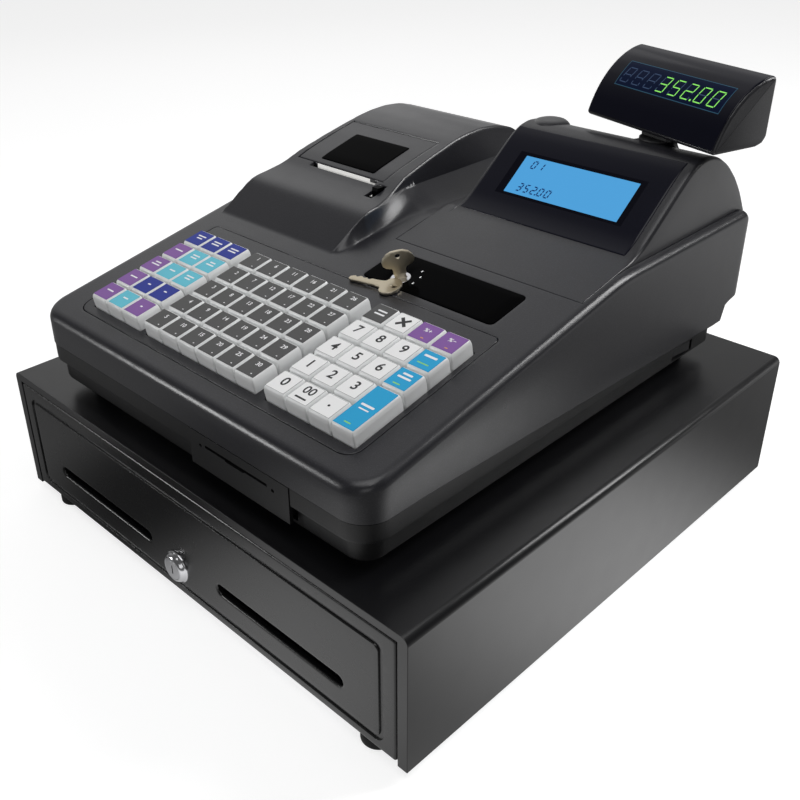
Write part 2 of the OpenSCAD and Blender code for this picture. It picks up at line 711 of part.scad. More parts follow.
module cover_lever() place() color([0.10, 0.10, 0.11]) {
  side(lever_side, -45.4, -39.2);
  xcyl(4, -45.4, -39.2, lever_y, lever_z);
  xcyl(lever_pin_r, -50.5, -42, lever_y, lever_z);
}

// ---------- mode lock ----------
mode_lock_x = 38.7;
mode_lock_y = 174.6;
mode_key_ang = 52;

module mode_plate_outline(gap) plan(13 - gap, 125 + gap, 163.5 - gap, 199.5 + gap, 3.7 + gap, 3.7 + gap);
module mode_plate() place() color([0.03, 0.03, 0.03]) on_deck() difference() {
  translate([0, 0, -1.1]) linear_extrude(1.5) mode_plate_outline(0);
  translate([mode_lock_x, mode_lock_y, -3]) cylinder(r = 7.4, h = 6);
}
module mode_lock() place() color([0.70, 0.70, 0.70])
  on_deck() translate([mode_lock_x, mode_lock_y, 0]) difference() {
    union() {
      translate([0, 0, -22]) cylinder(r = 7, h = 22.45);
      translate([0, 0, -25]) cylinder(r = 3, h = 4);
    }
    rotate([0, 0, mode_key_ang]) box([-4.3, -1.15, -18], [4.3, 1.15, 2]);
  }
// the flat head of a key, x across it and y away from the blade
module key_head(half_w, length) difference() {
  intersection() {
    translate([0, length * 0.5]) circle(half_w);
    translate([-half_w, 0]) square([2 * half_w, length]);
  }
  translate([0, length - 4.4]) circle(1.9);
}
// blade, shoulder and head, standing in the lock
module mode_key() place() color([0.78, 0.70, 0.55])
  on_deck() translate([mode_lock_x, mode_lock_y, 0]) rotate([0, 0, mode_key_ang]) {
    box([-4, -0.9, -16], [4, 0.9, 4.5]);
    box([-4.6, -1.1, 3.2], [4.6, 1.1, 8]);
    translate([0, 0, 7]) upright(-1.1, 1.1) key_head(11.2, 14.5);
  }
// lying flat on the mode plate
module spare_key() place() color([0.78, 0.70, 0.55])
  on_deck() translate([42.4, 161.4, 0]) rotate([0, 0, 99.8]) {
    translate([0, 8, 0.6]) rotate([0, 0, 180]) linear_extrude(2) key_head(9.4, 15);
    translate([-3.8, 7, 0.7]) cube([7.6, 6, 1.8]);
    translate([-3.2, 12, 0.8]) cube([5.4, 21, 1.6]);
    // teeth: [distance along the blade, length]
    for (tooth = [[14, 4], [20, 3], [26, 5]])
      translate([1, tooth[0], 0.8]) cube([2.4, tooth[1], 1.6]);
  }

// ---------- boards and power ----------
board_top = 121.6;
module main_board() place() color([0.08, 0.35, 0.20]) {
  box([5, 90, 120], [150, 330, board_top]);
  box([20, 130, board_top], [50, 160, 124]);
  box([70, 200, board_top], [92, 230, 125]);
  // blocks along the rear edge
  box([100, 300, board_top], [140, 328, 134]);
  for (x = [20:20:80]) box([x, 305, board_top], [x + 14, 329, 133]);
}
module power_supply() place() color([0.60, 0.60, 0.58]) {
  box([-145, 306, 112.5], [-60, 378, 116]);
  box([-140, 312, 116], [-70, 372, 158]);
  box([-128, 320, 150], [-82, 364, 168]);
}
// a paddle on an upright pivot, its outer face hollowed
module power_rocker() place() color([0.07, 0.07, 0.07])
  translate([rocker_x, rocker_y, 0]) rotate([0, 0, -7]) difference() {
    union() {
      side([[-10, 114], [10, 114], [10, 124], [-10, 124]], -1.5, 4.2);
      translate([0, 0, 112.8]) cylinder(r = 3, h = 11.6);
      translate([0, 0, 111.2]) cylinder(r = 1.5, h = 14.8);
    }
    translate([9, 0, 113]) cylinder(r = 4.6, h = 12);
  }

// ---------- customer display ----------
stem_x = 109;
stem_y = 360;
stem_r = 10;
head_pin_y = 4.5;
head_pin_z = 281;
head_pin_r = 3;
head_wall = 2;
// how far the lens ends lie in from the head's ends
head_lens_inset = 1.5;
// head seen from the side, in the stem's frame: [y, z]
head_side = [
  [-11.5, 269.2], [-9.5, 267.2], [28, 267], [34, 268.8], [37, 273], [37.5, 310.5], [36, 313],
  [28, 311.8], [20, 308.8], [12, 304], [5, 297.8], [-1, 290.6], [-6, 282.4], [-10, 273.6]
];
// slope of the head that carries the lens, from the foot up: [y, z]
head_lens_line = [
  [-11.2, 270.1], [-10, 273.6], [-6, 282.4], [-1, 290.6], [5, 297.8],
  [12, 304], [20, 308.8], [28, 311.8], [34.5, 312.8]
];

function head_lens(gap) =
  lens_band(head_lens_line, gap, [0.32, 0.95], [0.99, 0.15], [-0.3, 0.3], [0.75, -0.75]);
// the stem's frame, turned to the heading of the display
module at_stem() translate([stem_x, stem_y, 0]) rotate([0, 0, head_yaw]) children();

module customer_stem() place() color([0.06, 0.06, 0.07]) at_stem() difference() {
  union() {
    translate([0, 0, 228]) cylinder(r = stem_r, h = 35);
    translate([0, 0, 262]) cylinder(r = 12.2, h = 1.2);
    box([-12.2, -3, 263], [12.2, 8, 268]);
    box([-12.2, 0, 266], [12.2, 9.5, 285.5]);
  }
  xcyl(head_pin_r + 0.06, -20, 20, head_pin_y, head_pin_z);
}
module customer_head() place() color([0.14, 0.14, 0.15]) at_stem() {
  half_w = head_w / 2;
  pocket_x = half_w - head_lens_inset + lens_gap;
  difference() {
    side(head_side, -half_w, half_w);
    side(inset(head_side, head_wall), -half_w + head_wall, half_w - head_wall);
    // opening for the stem
    box([-13.4, -9, 260], [13.4, 17, 271]);
    side(head_lens(lens_gap), -pocket_x, pocket_x);
    // window for the digits
    box([-48, -2, 290], [52.6, 15, 306]);
  }
  // cheeks either side of the stem, and the tilt pin
  both_sides() box([13.6, 0, 268], [16.2, 9, 288]);
  xcyl(head_pin_r, -15, 15, head_pin_y, head_pin_z);
}
module customer_lens() place() color([0.04, 0.04, 0.09]) at_stem()
  side(head_lens(0), -head_w / 2 + head_lens_inset, head_w / 2 - head_lens_inset);
module customer_digits() place() color([0.35, 0.8, 0.3])
  at_stem() translate([2.3, 6.3, 298.2]) rotate([45, 0, 0]) {
    box([-48.5, -8, -3.4], [48.5, 8, -1.9]);
    box([-49.5, -8.5, -5.5], [49.5, 8.5, -3.4]);
  }

cabinet_shell();
cabinet_base_pan();
rubber_feet();
front_rollers();
latch_solenoid();
latch_plunger();
latch_hook();
eject_springs();
drawer_front();
drawer_box();
rear_rollers();
till_tray();
coin_tray();
clip_axle();
bill_clips();
lock_bezel();
lock_barrel();
base_case();
top_case();
display_pod();
card_slot_cover();
keyboard_panel();
keyboard_board();
main_board();
power_supply();
power_rocker();
printer_cover();
printer_window();
print_mechanism();
platen_roller();
paper_roll();
paper_web();
cover_lever();
display_lens();
lcd_module();
mode_plate();
mode_lock();
mode_key();
spare_key();
customer_stem();
customer_head();
customer_lens();
customer_digits();
key_0();
key_1();
key_2();
key_3();
key_4();
key_5();
key_6();
key_7();
key_8();
key_9();
key_00();
key_point();
cash_key();
subtotal_key();
card_key();
department_keys();
function_keys();
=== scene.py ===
"""Looks of the cash register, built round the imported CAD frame.

A drawer cabinet carries the register: a sloping keyboard deck in front, a printer pod at the
back left, a display pod at the back right and a customer display on a stem above it.

Shapes are in millimetres: x to the right, y to the back from the drawer front, z up from the
cabinet's underside. Points on the deck lie in the sloping plane and go through on_deck; points
of the customer display go through at_stem. to_row turns both into the metre frame.
"""
import json
import math

import bpy
import bmesh
import numpy as np
from mathutils import Matrix, Vector
from mathutils.geometry import delaunay_2d_cdt


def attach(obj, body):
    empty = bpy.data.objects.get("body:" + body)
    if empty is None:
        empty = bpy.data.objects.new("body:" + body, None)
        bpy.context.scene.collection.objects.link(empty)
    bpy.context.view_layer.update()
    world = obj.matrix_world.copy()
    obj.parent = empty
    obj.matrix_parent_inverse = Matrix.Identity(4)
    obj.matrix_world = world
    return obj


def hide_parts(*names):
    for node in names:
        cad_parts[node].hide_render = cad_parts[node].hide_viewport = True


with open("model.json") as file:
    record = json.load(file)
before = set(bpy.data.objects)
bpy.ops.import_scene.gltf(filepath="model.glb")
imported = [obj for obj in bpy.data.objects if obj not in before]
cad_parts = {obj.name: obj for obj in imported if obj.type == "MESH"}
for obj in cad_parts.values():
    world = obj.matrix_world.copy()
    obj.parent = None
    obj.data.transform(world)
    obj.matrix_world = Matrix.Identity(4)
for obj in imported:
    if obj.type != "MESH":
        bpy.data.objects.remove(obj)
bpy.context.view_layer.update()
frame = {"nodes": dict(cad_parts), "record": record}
SCENE = bpy.context.scene

# ------------------------------------------------------------------ frame
Y_MID = 204.0  # the middle of the object, above the metre frame's origin
Z_FOOT = 8.0  # height of the cabinet's underside above the floor
DECK_ANGLE = math.radians(11.2)
DECK_COS, DECK_SIN = math.cos(DECK_ANGLE), math.sin(DECK_ANGLE)
DECK_FRONT_Z = 161.3  # height of the deck plane at y = 0
STEM = (109.0, 360.0)  # axis of the customer display's stem
STEM_YAW = -16.0


def to_row(points):
    points = np.asarray(points, float)
    return np.c_[points[:, 0], points[:, 1] - Y_MID, points[:, 2] + Z_FOOT] / 1000.0


def on_deck(points):
    x, y, z = np.asarray(points, float).T
    return np.c_[x, y * DECK_COS - z * DECK_SIN, DECK_FRONT_Z + y * DECK_SIN + z * DECK_COS]


def swing(points, degrees, centre):
    """Turns points about the vertical and moves them to a centre."""
    x, y, z = np.asarray(points, float).T
    c, s = math.cos(math.radians(degrees)), math.sin(math.radians(degrees))
    return np.c_[centre[0] + x * c - y * s, centre[1] + x * s + y * c, z]


def at_stem(points):
    return swing(points, STEM_YAW, STEM)


def upright(points):
    """Stands (x, z, forward) points up against the drawer front."""
    return np.c_[points[:, 0], -points[:, 2], points[:, 1]]


def deck_z(y):
    return DECK_FRONT_Z + math.tan(DECK_ANGLE) * y


# ------------------------------------------------------------------ materials
def add_node(tree, kind, inputs=None, **settings):
    """A shader node; each input takes a value or a socket to link from."""
    node = tree.nodes.new("ShaderNode" + kind)
    for key, value in settings.items():
        setattr(node, key, value)
    for key, value in (inputs or {}).items():
        if isinstance(value, bpy.types.NodeSocket):
            tree.links.new(value, node.inputs[key])
        else:
            node.inputs[key].default_value = value
    return node


def remap(tree, value, target, source=(0.0, 1.0), interpolation="LINEAR"):
    limits = {"From Min": source[0], "From Max": source[1], "To Min": target[0],
              "To Max": target[1], "Value": value}
    return add_node(tree, "MapRange", limits, interpolation_type=interpolation).outputs[0]


def tint(tree, base, driver, start, end, amount, color):
    """Mixes a colour over the base where the driver rises from start to end."""
    ramp = add_node(tree, "ValToRGB", {"Fac": driver})
    low, high = ramp.color_ramp.elements
    low.position = start
    high.position = end
    high.color = (amount, amount, amount, 1)
    inputs = {"Factor": ramp.outputs["Color"], "A": base, "B": (*color, 1)}
    return add_node(tree, "Mix", inputs, data_type="RGBA").outputs["Result"]


def material(name, color, rough, metal=0.0, spec=0.5, ior=1.5, coat=0.0, coat_rough=0.1,
             sss=0.0, blotch=0.0, rough_var=0.0, speck=None, wear=None, grain=None,
             brushed=None, emit=None):
    """A material with uneven colour and roughness.

    blotch, rough_var: how far the colour's value and the roughness swing
    speck: (noise scale, amount, colour)
    wear: (pointiness where it starts, amount, colour) on the edges
    grain: (noise scale, bump strength, bump distance)
    brushed: noise scale along x, y and z
    emit: (colour, strength)
    """
    mat = bpy.data.materials.new(name)
    mat.use_nodes = True
    tree = mat.node_tree
    bsdf = tree.nodes["Principled BSDF"]
    place = add_node(tree, "TexCoord").outputs["Object"]
    values = {"Metallic": metal, "IOR": ior, "Specular IOR Level": spec, "Coat Weight": coat,
              "Coat Roughness": coat_rough}
    if sss:
        values["Subsurface Weight"] = sss
        values["Subsurface Radius"] = (0.003, 0.003, 0.003)
        values["Subsurface Scale"] = 1.0
    if emit:
        values["Emission Color"] = (*emit[0], 1)
        values["Emission Strength"] = emit[1]
    for key, value in values.items():
        bsdf.inputs[key].default_value = value

    plain = add_node(tree, "RGB")
    plain.outputs[0].default_value = (*color, 1)
    clouds = add_node(tree, "TexNoise", {"Scale": 9.0, "Detail": 4.0, "Vector": place})
    swing_value = remap(tree, clouds.outputs["Fac"], (1.0 - blotch - 0.02, 1.0 + blotch + 0.02))
    hsv = add_node(tree, "HueSaturation", {"Value": swing_value, "Color": plain.outputs[0]})
    surface = hsv.outputs[0]
    if speck:
        scale, amount, light = speck
        noise = add_node(tree, "TexNoise", {"Scale": scale, "Detail": 2.0, "Roughness": 0.7,
                                            "Vector": place})
        surface = tint(tree, surface, noise.outputs["Fac"], 0.52, 0.74, amount, light)
    if wear:
        start, amount, bare = wear
        sharpness = add_node(tree, "NewGeometry").outputs["Pointiness"]
        surface = tint(tree, surface, sharpness, start, min(1.0, start + 0.08), amount, bare)
    tree.links.new(surface, bsdf.inputs["Base Color"])

    smudges = add_node(tree, "TexNoise", {"Scale": 60.0, "Detail": 5.0, "Vector": place})
    limits = (max(0.02, rough - rough_var), min(1.0, rough + rough_var))
    tree.links.new(remap(tree, smudges.outputs["Fac"], limits), bsdf.inputs["Roughness"])

    if grain or brushed:
        scale, strength, distance = grain or (1.0, 0.25, 0.0002)
        if brushed:
            place = add_node(tree, "Mapping", {"Scale": brushed, "Vector": place}).outputs[0]
        noise = add_node(tree, "TexNoise", {"Scale": scale, "Detail": 3.0, "Roughness": 0.65,
                                            "Vector": place})
        bump = add_node(tree, "Bump", {"Strength": strength, "Distance": distance,
                                       "Height": noise.outputs["Fac"]})
        tree.links.new(bump.outputs[0], bsdf.inputs["Normal"])
    mat.diffuse_color = (*color, 1)
    return mat


def label(name, color, rough=0.40, blotch=0.03):
    return material(name, color, rough=rough, spec=0.25, grain=(300, 0.02, 0.0002), blotch=blotch)


def ink(name, color):
    return material(name, color, rough=0.45, blotch=0.02)


CASE = material("case_plastic_m", (0.0145, 0.0145, 0.0180), rough=0.30, spec=0.52, coat=0.10,
                coat_rough=0.18, grain=(1000, 0.20, 0.0003),
                speck=(1300, 0.30, (0.08, 0.08, 0.10)), blotch=0.03, rough_var=0.05)
# A darker copy of the case plastic: painted shade for the lower case, the underside of the rear
# overhang and the card slot cover, which lie in shade.
CASE_SHADED = material("case_low_m", (0.006, 0.006, 0.0065), rough=0.42, spec=0.4,
                    grain=(1100, 0.18, 0.0003), speck=(1500, 0.3, (0.03, 0.03, 0.035)),
                    blotch=0.03, rough_var=0.05)
CABINET = material("powder_coat_m", (0.006, 0.006, 0.007), rough=0.30,
                   grain=(650, 0.05, 0.0003), blotch=0.05, rough_var=0.04)
FRONT = material("front_coat_m", (0.0045, 0.0045, 0.005), rough=0.27,
                 grain=(500, 0.035, 0.0003), blotch=0.05, rough_var=0.03)
ZINC = material("zinc_m", (0.50, 0.51, 0.53), rough=0.38, metal=1.0, blotch=0.12,
                rough_var=0.10, brushed=(30, 900, 900))
STEEL = material("steel_m", (0.55, 0.55, 0.57), rough=0.25, metal=1.0, blotch=0.08,
                 rough_var=0.08, brushed=(900, 30, 900))
RUBBER = material("rubber_m", (0.018, 0.018, 0.018), rough=0.85, spec=0.3,
                  grain=(900, 0.3, 0.0003), blotch=0.1)
NYLON = material("nylon_m", (0.74, 0.72, 0.64), rough=0.45, grain=(600, 0.08, 0.0002),
                 blotch=0.05)
TRAY = material("tray_m", (0.022, 0.022, 0.024), rough=0.55, grain=(900, 0.25, 0.0004),
                blotch=0.06, rough_var=0.08)
GLOSS = material("gloss_black_m", (0.0014, 0.0014, 0.0016), rough=0.14, spec=0.15, ior=1.10,
                 blotch=0.04, rough_var=0.02, grain=(40, 0.01, 0.0005))
LENS = material("lens_navy_m", (0.0040, 0.0042, 0.0105), rough=0.12, spec=0.24, blotch=0.04,
                rough_var=0.02, grain=(25, 0.008, 0.0006))
CHROME = material("nickel_plate_m", (0.66, 0.66, 0.68), rough=0.16, metal=1.0, blotch=0.05,
                  rough_var=0.06, grain=(120, 0.03, 0.0002))
KEY_METAL = material("key_nickel_m", (0.62, 0.55, 0.42), rough=0.34, metal=1.0, blotch=0.22,
                     rough_var=0.14, grain=(420, 0.25, 0.0003),
                     wear=(0.53, 0.8, (0.86, 0.82, 0.72)))
BOARD = material("board_m", (0.02, 0.17, 0.07), rough=0.30,
                 speck=(260, 0.7, (0.42, 0.36, 0.15)), blotch=0.2, grain=(250, 0.1, 0.0003))
# Paper of the strip out of the slot, with a faint glow: painted light, brightening it as if lit
# from the front.
PAPER_GLOW = material("paper_strip_m", (0.88, 0.88, 0.86), rough=0.8, spec=0.2,
                 emit=((1.0, 0.99, 0.96), 0.35), blotch=0.02)
PAPER = material("paper_m", (0.88, 0.88, 0.86), rough=0.8, spec=0.2,
                 grain=(500, 0.12, 0.0003), blotch=0.02)
CAP = material("key_cap_m", (0.86, 0.87, 0.87), rough=0.30, sss=0.25,
               grain=(300, 0.02, 0.0002), blotch=0.03, rough_var=0.04)
WHITE = label("label_white_m", (0.92, 0.92, 0.92), rough=0.38, blotch=0.01)
GREY = label("label_grey_m", (0.085, 0.085, 0.085), rough=0.42)
VIOLET = label("label_violet_m", (0.240, 0.105, 0.370))
LIGHT = label("label_light_m", (0.130, 0.560, 0.700), blotch=0.02)
DARK = label("label_dark_m", (0.012, 0.030, 0.300))
BRIGHT = label("label_bright_m", (0.018, 0.380, 0.700))
LABEL_LINE = material("label_line_m", (0.34, 0.34, 0.35), rough=0.5, blotch=0.02)
INK = ink("ink_black_m", (0.012, 0.012, 0.014))
INK_WHITE = ink("ink_white_m", (0.90, 0.90, 0.92))
INK_GREEN = ink("ink_green_m", (0.30, 0.72, 0.14))
INK_ORANGE = ink("ink_orange_m", (0.80, 0.42, 0.10))
LCD = material("lcd_blue_m", (0.004, 0.02, 0.04), rough=0.3, spec=0.2,
               emit=((0.070, 0.335, 0.67), 1.0), blotch=0.05)
LCD_INK = material("lcd_ink_m", (0.002, 0.006, 0.03), rough=0.3, spec=0.1,
                   emit=((0.002, 0.014, 0.095), 1.0), blotch=0.02)
LCD_EDGE = material("lcd_edge_m", (0.0030, 0.0030, 0.0070), rough=0.25, spec=0.06, blotch=0.05)
DIGIT = material("digit_green_m", (0.02, 0.1, 0.01), rough=0.3, spec=0.1,
                 emit=((0.27, 0.80, 0.14), 1.0), blotch=0.02)
DIGIT_OFF = material("digit_dim_m", (0.020, 0.035, 0.075), rough=0.3, spec=0.1,
                     emit=((0.030, 0.050, 0.095), 0.8), blotch=0.02)
DIGIT_FRAME = material("digit_frame_m", (0.01, 0.03, 0.05), rough=0.3, spec=0.1,
                       emit=((0.020, 0.060, 0.095), 1.0), blotch=0.05)
DIGIT_BACK = material("digit_back_m", (0.002, 0.004, 0.012), rough=0.25, spec=0.06,
                      emit=((0.004, 0.012, 0.05), 0.3), blotch=0.1)

BY_SLOT = {
    "cabinet_black": CABINET, "front_black": FRONT, "zinc": ZINC, "rubber": RUBBER,
    "roller_nylon": NYLON, "steel": STEEL, "tray_plastic": TRAY, "case_plastic": CASE,
    "panel_plastic": CASE, "lens_smoke": LENS, "lcd_blue": LCD, "digit_green": DIGIT_BACK,
    "gloss_black": GLOSS, "chrome": CHROME, "key_metal": KEY_METAL, "board_green": BOARD,
    "paper": PAPER, "cap_white": CAP, "cap_blue": CAP, "cap_grey": CAP, "cap_violet": CAP,
}


# ------------------------------------------------------------------ pieces
def shade(mesh, angle):
    """Smooth shading, with edges sharp from the angle (degrees) up."""
    bm = bmesh.new()
    bm.from_mesh(mesh)
    limit = math.radians(angle)
    for face in bm.faces:
        face.smooth = True
    for edge in bm.edges:
        edge.smooth = len(edge.link_faces) == 2 and edge.calc_face_angle(0.0) < limit
    bm.to_mesh(mesh)
    bm.free()


def add_piece(name, points, faces, body, mats, angle, index=None, fix=False):
    """A mesh piece riding on a body; fix turns all normals outward."""
    mesh = bpy.data.meshes.new(name)
    mesh.from_pydata(to_row(points).tolist(), [], [list(map(int, face)) for face in faces])
    for mat in mats:
        mesh.materials.append(mat)
    if index is not None:
        mesh.polygons.foreach_set("material_index", np.asarray(index, dtype=np.int32))
    mesh.validate()
    if fix:
        bm = bmesh.new()
        bm.from_mesh(mesh)
        bmesh.ops.recalc_face_normals(bm, faces=bm.faces)
        bm.to_mesh(mesh)
        bm.free()
    shade(mesh, angle)
    mesh.update()
    piece = bpy.data.objects.new(name, mesh)
    SCENE.collection.objects.link(piece)
    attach(piece, body)
    return piece


def register_as(piece, node=None):
    """Hides the CAD node the piece stands for, if one is given."""
    if node:
        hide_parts(node)


def add_wall(piece, thickness):
    solid = piece.modifiers.new("wall", "SOLIDIFY")
    solid.thickness = thickness / 1000.0
    solid.offset = -1.0


def even_normals(piece):
    """Normals weighted by face area, so flat faces stay flat beside their rounded edges."""
    weighted = piece.modifiers.new("even", "WEIGHTED_NORMAL")
    weighted.keep_sharp = True
    weighted.weight = 80


def cut_box(piece, low, high):
    """Cuts a box out of a piece and applies the cut to its mesh."""
    low, high = to_row([low, high])
    bm = bmesh.new()
    bmesh.ops.create_cube(bm, size=1.0)
    for vert in bm.verts:
        vert.co = Vector((low + high) / 2 + np.array(vert.co) * (high - low))
    mesh = bpy.data.meshes.new("cutter")
    bm.to_mesh(mesh)
    bm.free()
    cutter = bpy.data.objects.new("cutter", mesh)
    SCENE.collection.objects.link(cutter)
    boolean = piece.modifiers.new("cut", "BOOLEAN")
    boolean.object = cutter
    boolean.operation = "DIFFERENCE"
    boolean.solver = "EXACT"
    bpy.context.view_layer.update()
    evaluated = piece.evaluated_get(bpy.context.evaluated_depsgraph_get())
    cut_mesh = bpy.data.meshes.new_from_object(evaluated)
    piece.modifiers.remove(boolean)
    old_mesh = piece.data
    piece.data = cut_mesh
    bpy.data.meshes.remove(old_mesh)
    bpy.data.objects.remove(cutter)
    shade(piece.data, 40)


class Build:
    """Gathers shapes of several materials into one piece."""

    def __init__(self):
        self.points, self.faces, self.index, self.mats = [], [], [], []
        self.count = 0

    def add(self, points, faces, mat):
        if mat not in self.mats:
            self.mats.append(mat)
        self.points.append(np.asarray(points, float))
        self.faces += [[i + self.count for i in face] for face in faces]
        self.index += [self.mats.index(mat)] * len(faces)
        self.count += len(points)

    def make(self, name, body, angle, place=np.asarray):
        points = place(np.vstack(self.points))
        return add_piece(name, points, self.faces, body, self.mats, angle, self.index)


# ------------------------------------------------------------------ outlines
# Outlines are counter-clockwise lists of plan points.
def rect(x0, x1, y0, y1):
    return [(x0, y0), (x1, y0), (x1, y1), (x0, y1)]


def round_rect(x0, x1, y0, y1, r, r_far=None, steps=8):
    """Rounded rectangle; r at the low-y corners, r_far at the high-y ones."""
    far = r if r_far is None else r_far
    corners = ((x1 - r, y0 + r, r, -90), (x1 - far, y1 - far, far, 0),
               (x0 + far, y1 - far, far, 90), (x0 + r, y0 + r, r, 180))
    outline = []
    for cx, cy, radius, start in corners:
        for i in range(steps + 1):
            a = math.radians(start + 90.0 * i / steps)
            outline.append((cx + radius * math.cos(a), cy + radius * math.sin(a)))
    return outline


def circle(cx, cy, r, steps):
    angles = [2 * math.pi * i / steps for i in range(steps)]
    return [(cx + r * math.cos(a), cy + r * math.sin(a)) for a in angles]


def densify(outline, step):
    """Splits the sides into pieces no longer than step."""
    dense = []
    for i in range(len(outline)):
        a, b = np.array(outline[i]), np.array(outline[(i + 1) % len(outline)])
        count = max(1, int(math.ceil(np.linalg.norm(b - a) / step)))
        for j in range(count):
            dense.append(tuple(a + (b - a) * j / count))
    return dense


def inset(outline, d):
    """Moves an outline inward by d, or outward when d is negative."""
    p = np.array(outline, float)
    before = p - np.roll(p, 1, 0)
    after = np.roll(p, -1, 0) - p
    before /= np.maximum(np.linalg.norm(before, axis=1, keepdims=True), 1e-9)
    after /= np.maximum(np.linalg.norm(after, axis=1, keepdims=True), 1e-9)
    n1, n2 = np.c_[-before[:, 1], before[:, 0]], np.c_[-after[:, 1], after[:, 0]]
    spread = 1.0 + (n1 * n2).sum(1, keepdims=True)
    return p + d * (n1 + n2) / np.maximum(spread, 0.3)


def inside(points, outline):
    start = np.asarray(outline, float)
    x, y = points[:, 0], points[:, 1]
    result = np.zeros(len(points), bool)
    for (x1, y1), (x2, y2) in zip(start, np.roll(start, -1, 0)):
        if y1 == y2:
            continue
        crosses = (y1 > y) != (y2 > y)
        result ^= crosses & (x < (x2 - x1) * (y - y1) / (y2 - y1) + x1)
    return result


def distance(points, outline):
    start = np.asarray(outline, float)
    best = np.full(len(points), 1e9)
    for a, b in zip(start, np.roll(start, -1, 0)):
        side = b - a
        t = np.clip(((points - a) @ side) / max((side * side).sum(), 1e-12), 0, 1)
        gap = points - (a + t[:, None] * side)
        best = np.minimum(best, (gap * gap).sum(1))
    return np.sqrt(best)


def signed_area(outline):
    """Twice the area, positive when counter-clockwise."""
    n = len(outline)
    return sum(outline[i][0] * outline[(i + 1) % n][1] - outline[(i + 1) % n][0] * outline[i][1]
               for i in range(n))


def smooth_closed(outline, step, sigma):
    p = np.array(densify(outline, step))
    shifts = np.arange(-6, 7)
    weights = np.exp(-(shifts * step) ** 2 / (2 * sigma * sigma))
    weights /= weights.sum()
    smoothed = np.zeros_like(p)
    for shift, weight in zip(shifts, weights):
        smoothed += weight * np.roll(p, shift, 0)
    return smoothed


# ------------------------------------------------------------------ surfaces
def stops(*runs):
    """Grid positions from (start, end, step) runs."""
    return np.concatenate([np.arange(*run) for run in runs])


def fillet(d, r):
    """Drop of an edge rounded to radius r, at distance d from the edge."""
    t = np.clip(r - d, 0, r)
    return r - np.sqrt(np.maximum(r * r - t * t, 0))


def arc_rings(r, steps):
    """Inset distances that follow an edge rounding in even angles."""
    return [r * (1 - math.cos(math.radians(90.0 * i / steps))) for i in range(1, steps + 1)]


def sheet(outline, holes, xs, ys, rings=(), hole_rings=(), extra=(), gap=1.0):
    """Triangulated plan with grid points, border rings, extra loops and clean holes.

    Returns points, triangles and the distances to the outline and to the nearest hole.
    """
    points, edges = [], []

    def loop(line):
        first, n = len(points), len(line)
        points.extend([(float(a), float(b)) for a, b in line])
        edges.extend([(first + i, first + (i + 1) % n) for i in range(n)])

    loop(outline)
    for d in rings:
        loop(inset(outline, d))
    for hole in holes:
        loop(hole)
        for d in hole_rings:
            loop(inset(hole, -d))
    for line in extra:
        loop(line)
    grid_x, grid_y = np.meshgrid(xs, ys)
    grid = np.c_[grid_x.ravel(), grid_y.ravel()]
    grid = grid[inside(grid, outline)]
    grid = grid[distance(grid, outline) > (max(rings) if rings else 0) + gap]
    for hole in holes:
        grid = grid[~inside(grid, hole)]
        grid = grid[distance(grid, hole) > (max(hole_rings) if hole_rings else 0) + gap]
    for line in extra:
        grid = grid[distance(grid, line) > gap * 0.6]
    points.extend([tuple(p) for p in grid])

    result = delaunay_2d_cdt([Vector(p) for p in points], edges, [], 0, 1e-5)
    plan = np.array([(p.x, p.y) for p in result[0]])
    tris = np.array([list(t) for t in result[2]])
    centres = plan[tris].mean(1)
    keep = inside(centres, outline)
    for hole in holes:
        keep &= ~inside(centres, hole)
    tris = tris[keep]

    # slivers go, and clockwise triangles are turned over
    a, b, c = (plan[tris[:, i]] for i in range(3))
    area = ((b[:, 0] - a[:, 0]) * (c[:, 1] - a[:, 1])
            - (b[:, 1] - a[:, 1]) * (c[:, 0] - a[:, 0]))
    solid = np.abs(area) > 1e-7
    tris, area = tris[solid], area[solid]
    tris[area < 0] = tris[area < 0][:, ::-1]

    used = np.unique(tris)
    renumber = -np.ones(len(plan), int)
    renumber[used] = np.arange(len(used))
    plan, tris = plan[used], renumber[tris]
    to_hole = np.full(len(plan), 1e9)
    for hole in holes:
        to_hole = np.minimum(to_hole, distance(plan, hole))
    return plan, tris, distance(plan, outline), to_hole


def border_edges(tris):
    edges = dict.fromkeys((int(t[i]), int(t[(i + 1) % 3])) for t in tris for i in range(3))
    return [(a, b) for a, b in edges if (b, a) not in edges]


def skirts(points, tris, rule):
    """Adds walls below every open edge; rule(point) gives the points below a border point."""
    points = [tuple(p) for p in points]
    faces = [list(map(int, t)) for t in tris]
    columns = {}
    for edge in border_edges(tris):
        for k in edge:
            if k not in columns:
                lower = rule(points[k])
                columns[k] = [k] + list(range(len(points), len(points) + len(lower)))
                points.extend(tuple(p) for p in lower)
        a, b = (columns[k] for k in edge)
        for a_up, a_down, b_up, b_down in zip(a, a[1:], b, b[1:]):
            faces.append([b_up, a_up, a_down, b_down])
    return np.array(points), faces


def loft(rings, caps=True):
    """Skin between equal loops; counter-clockwise loops going up give outward faces."""
    n = len(rings[0])
    faces = []
    for k in range(len(rings) - 1):
        for i in range(n):
            j = (i + 1) % n
            faces.append([k * n + i, k * n + j, (k + 1) * n + j, (k + 1) * n + i])
    if caps:
        faces.append(list(range(n))[::-1])
        faces.append([(len(rings) - 1) * n + i for i in range(n)])
    return np.vstack(rings), faces


def turned_rings(profile, cx, cy, steps):
    """Circles about a vertical axis from (radius, height) pairs."""
    angles = np.linspace(0, 2 * math.pi, steps, endpoint=False)
    return [np.array([(cx + r * math.cos(a), cy + r * math.sin(a), height) for a in angles])
            for r, height in profile]


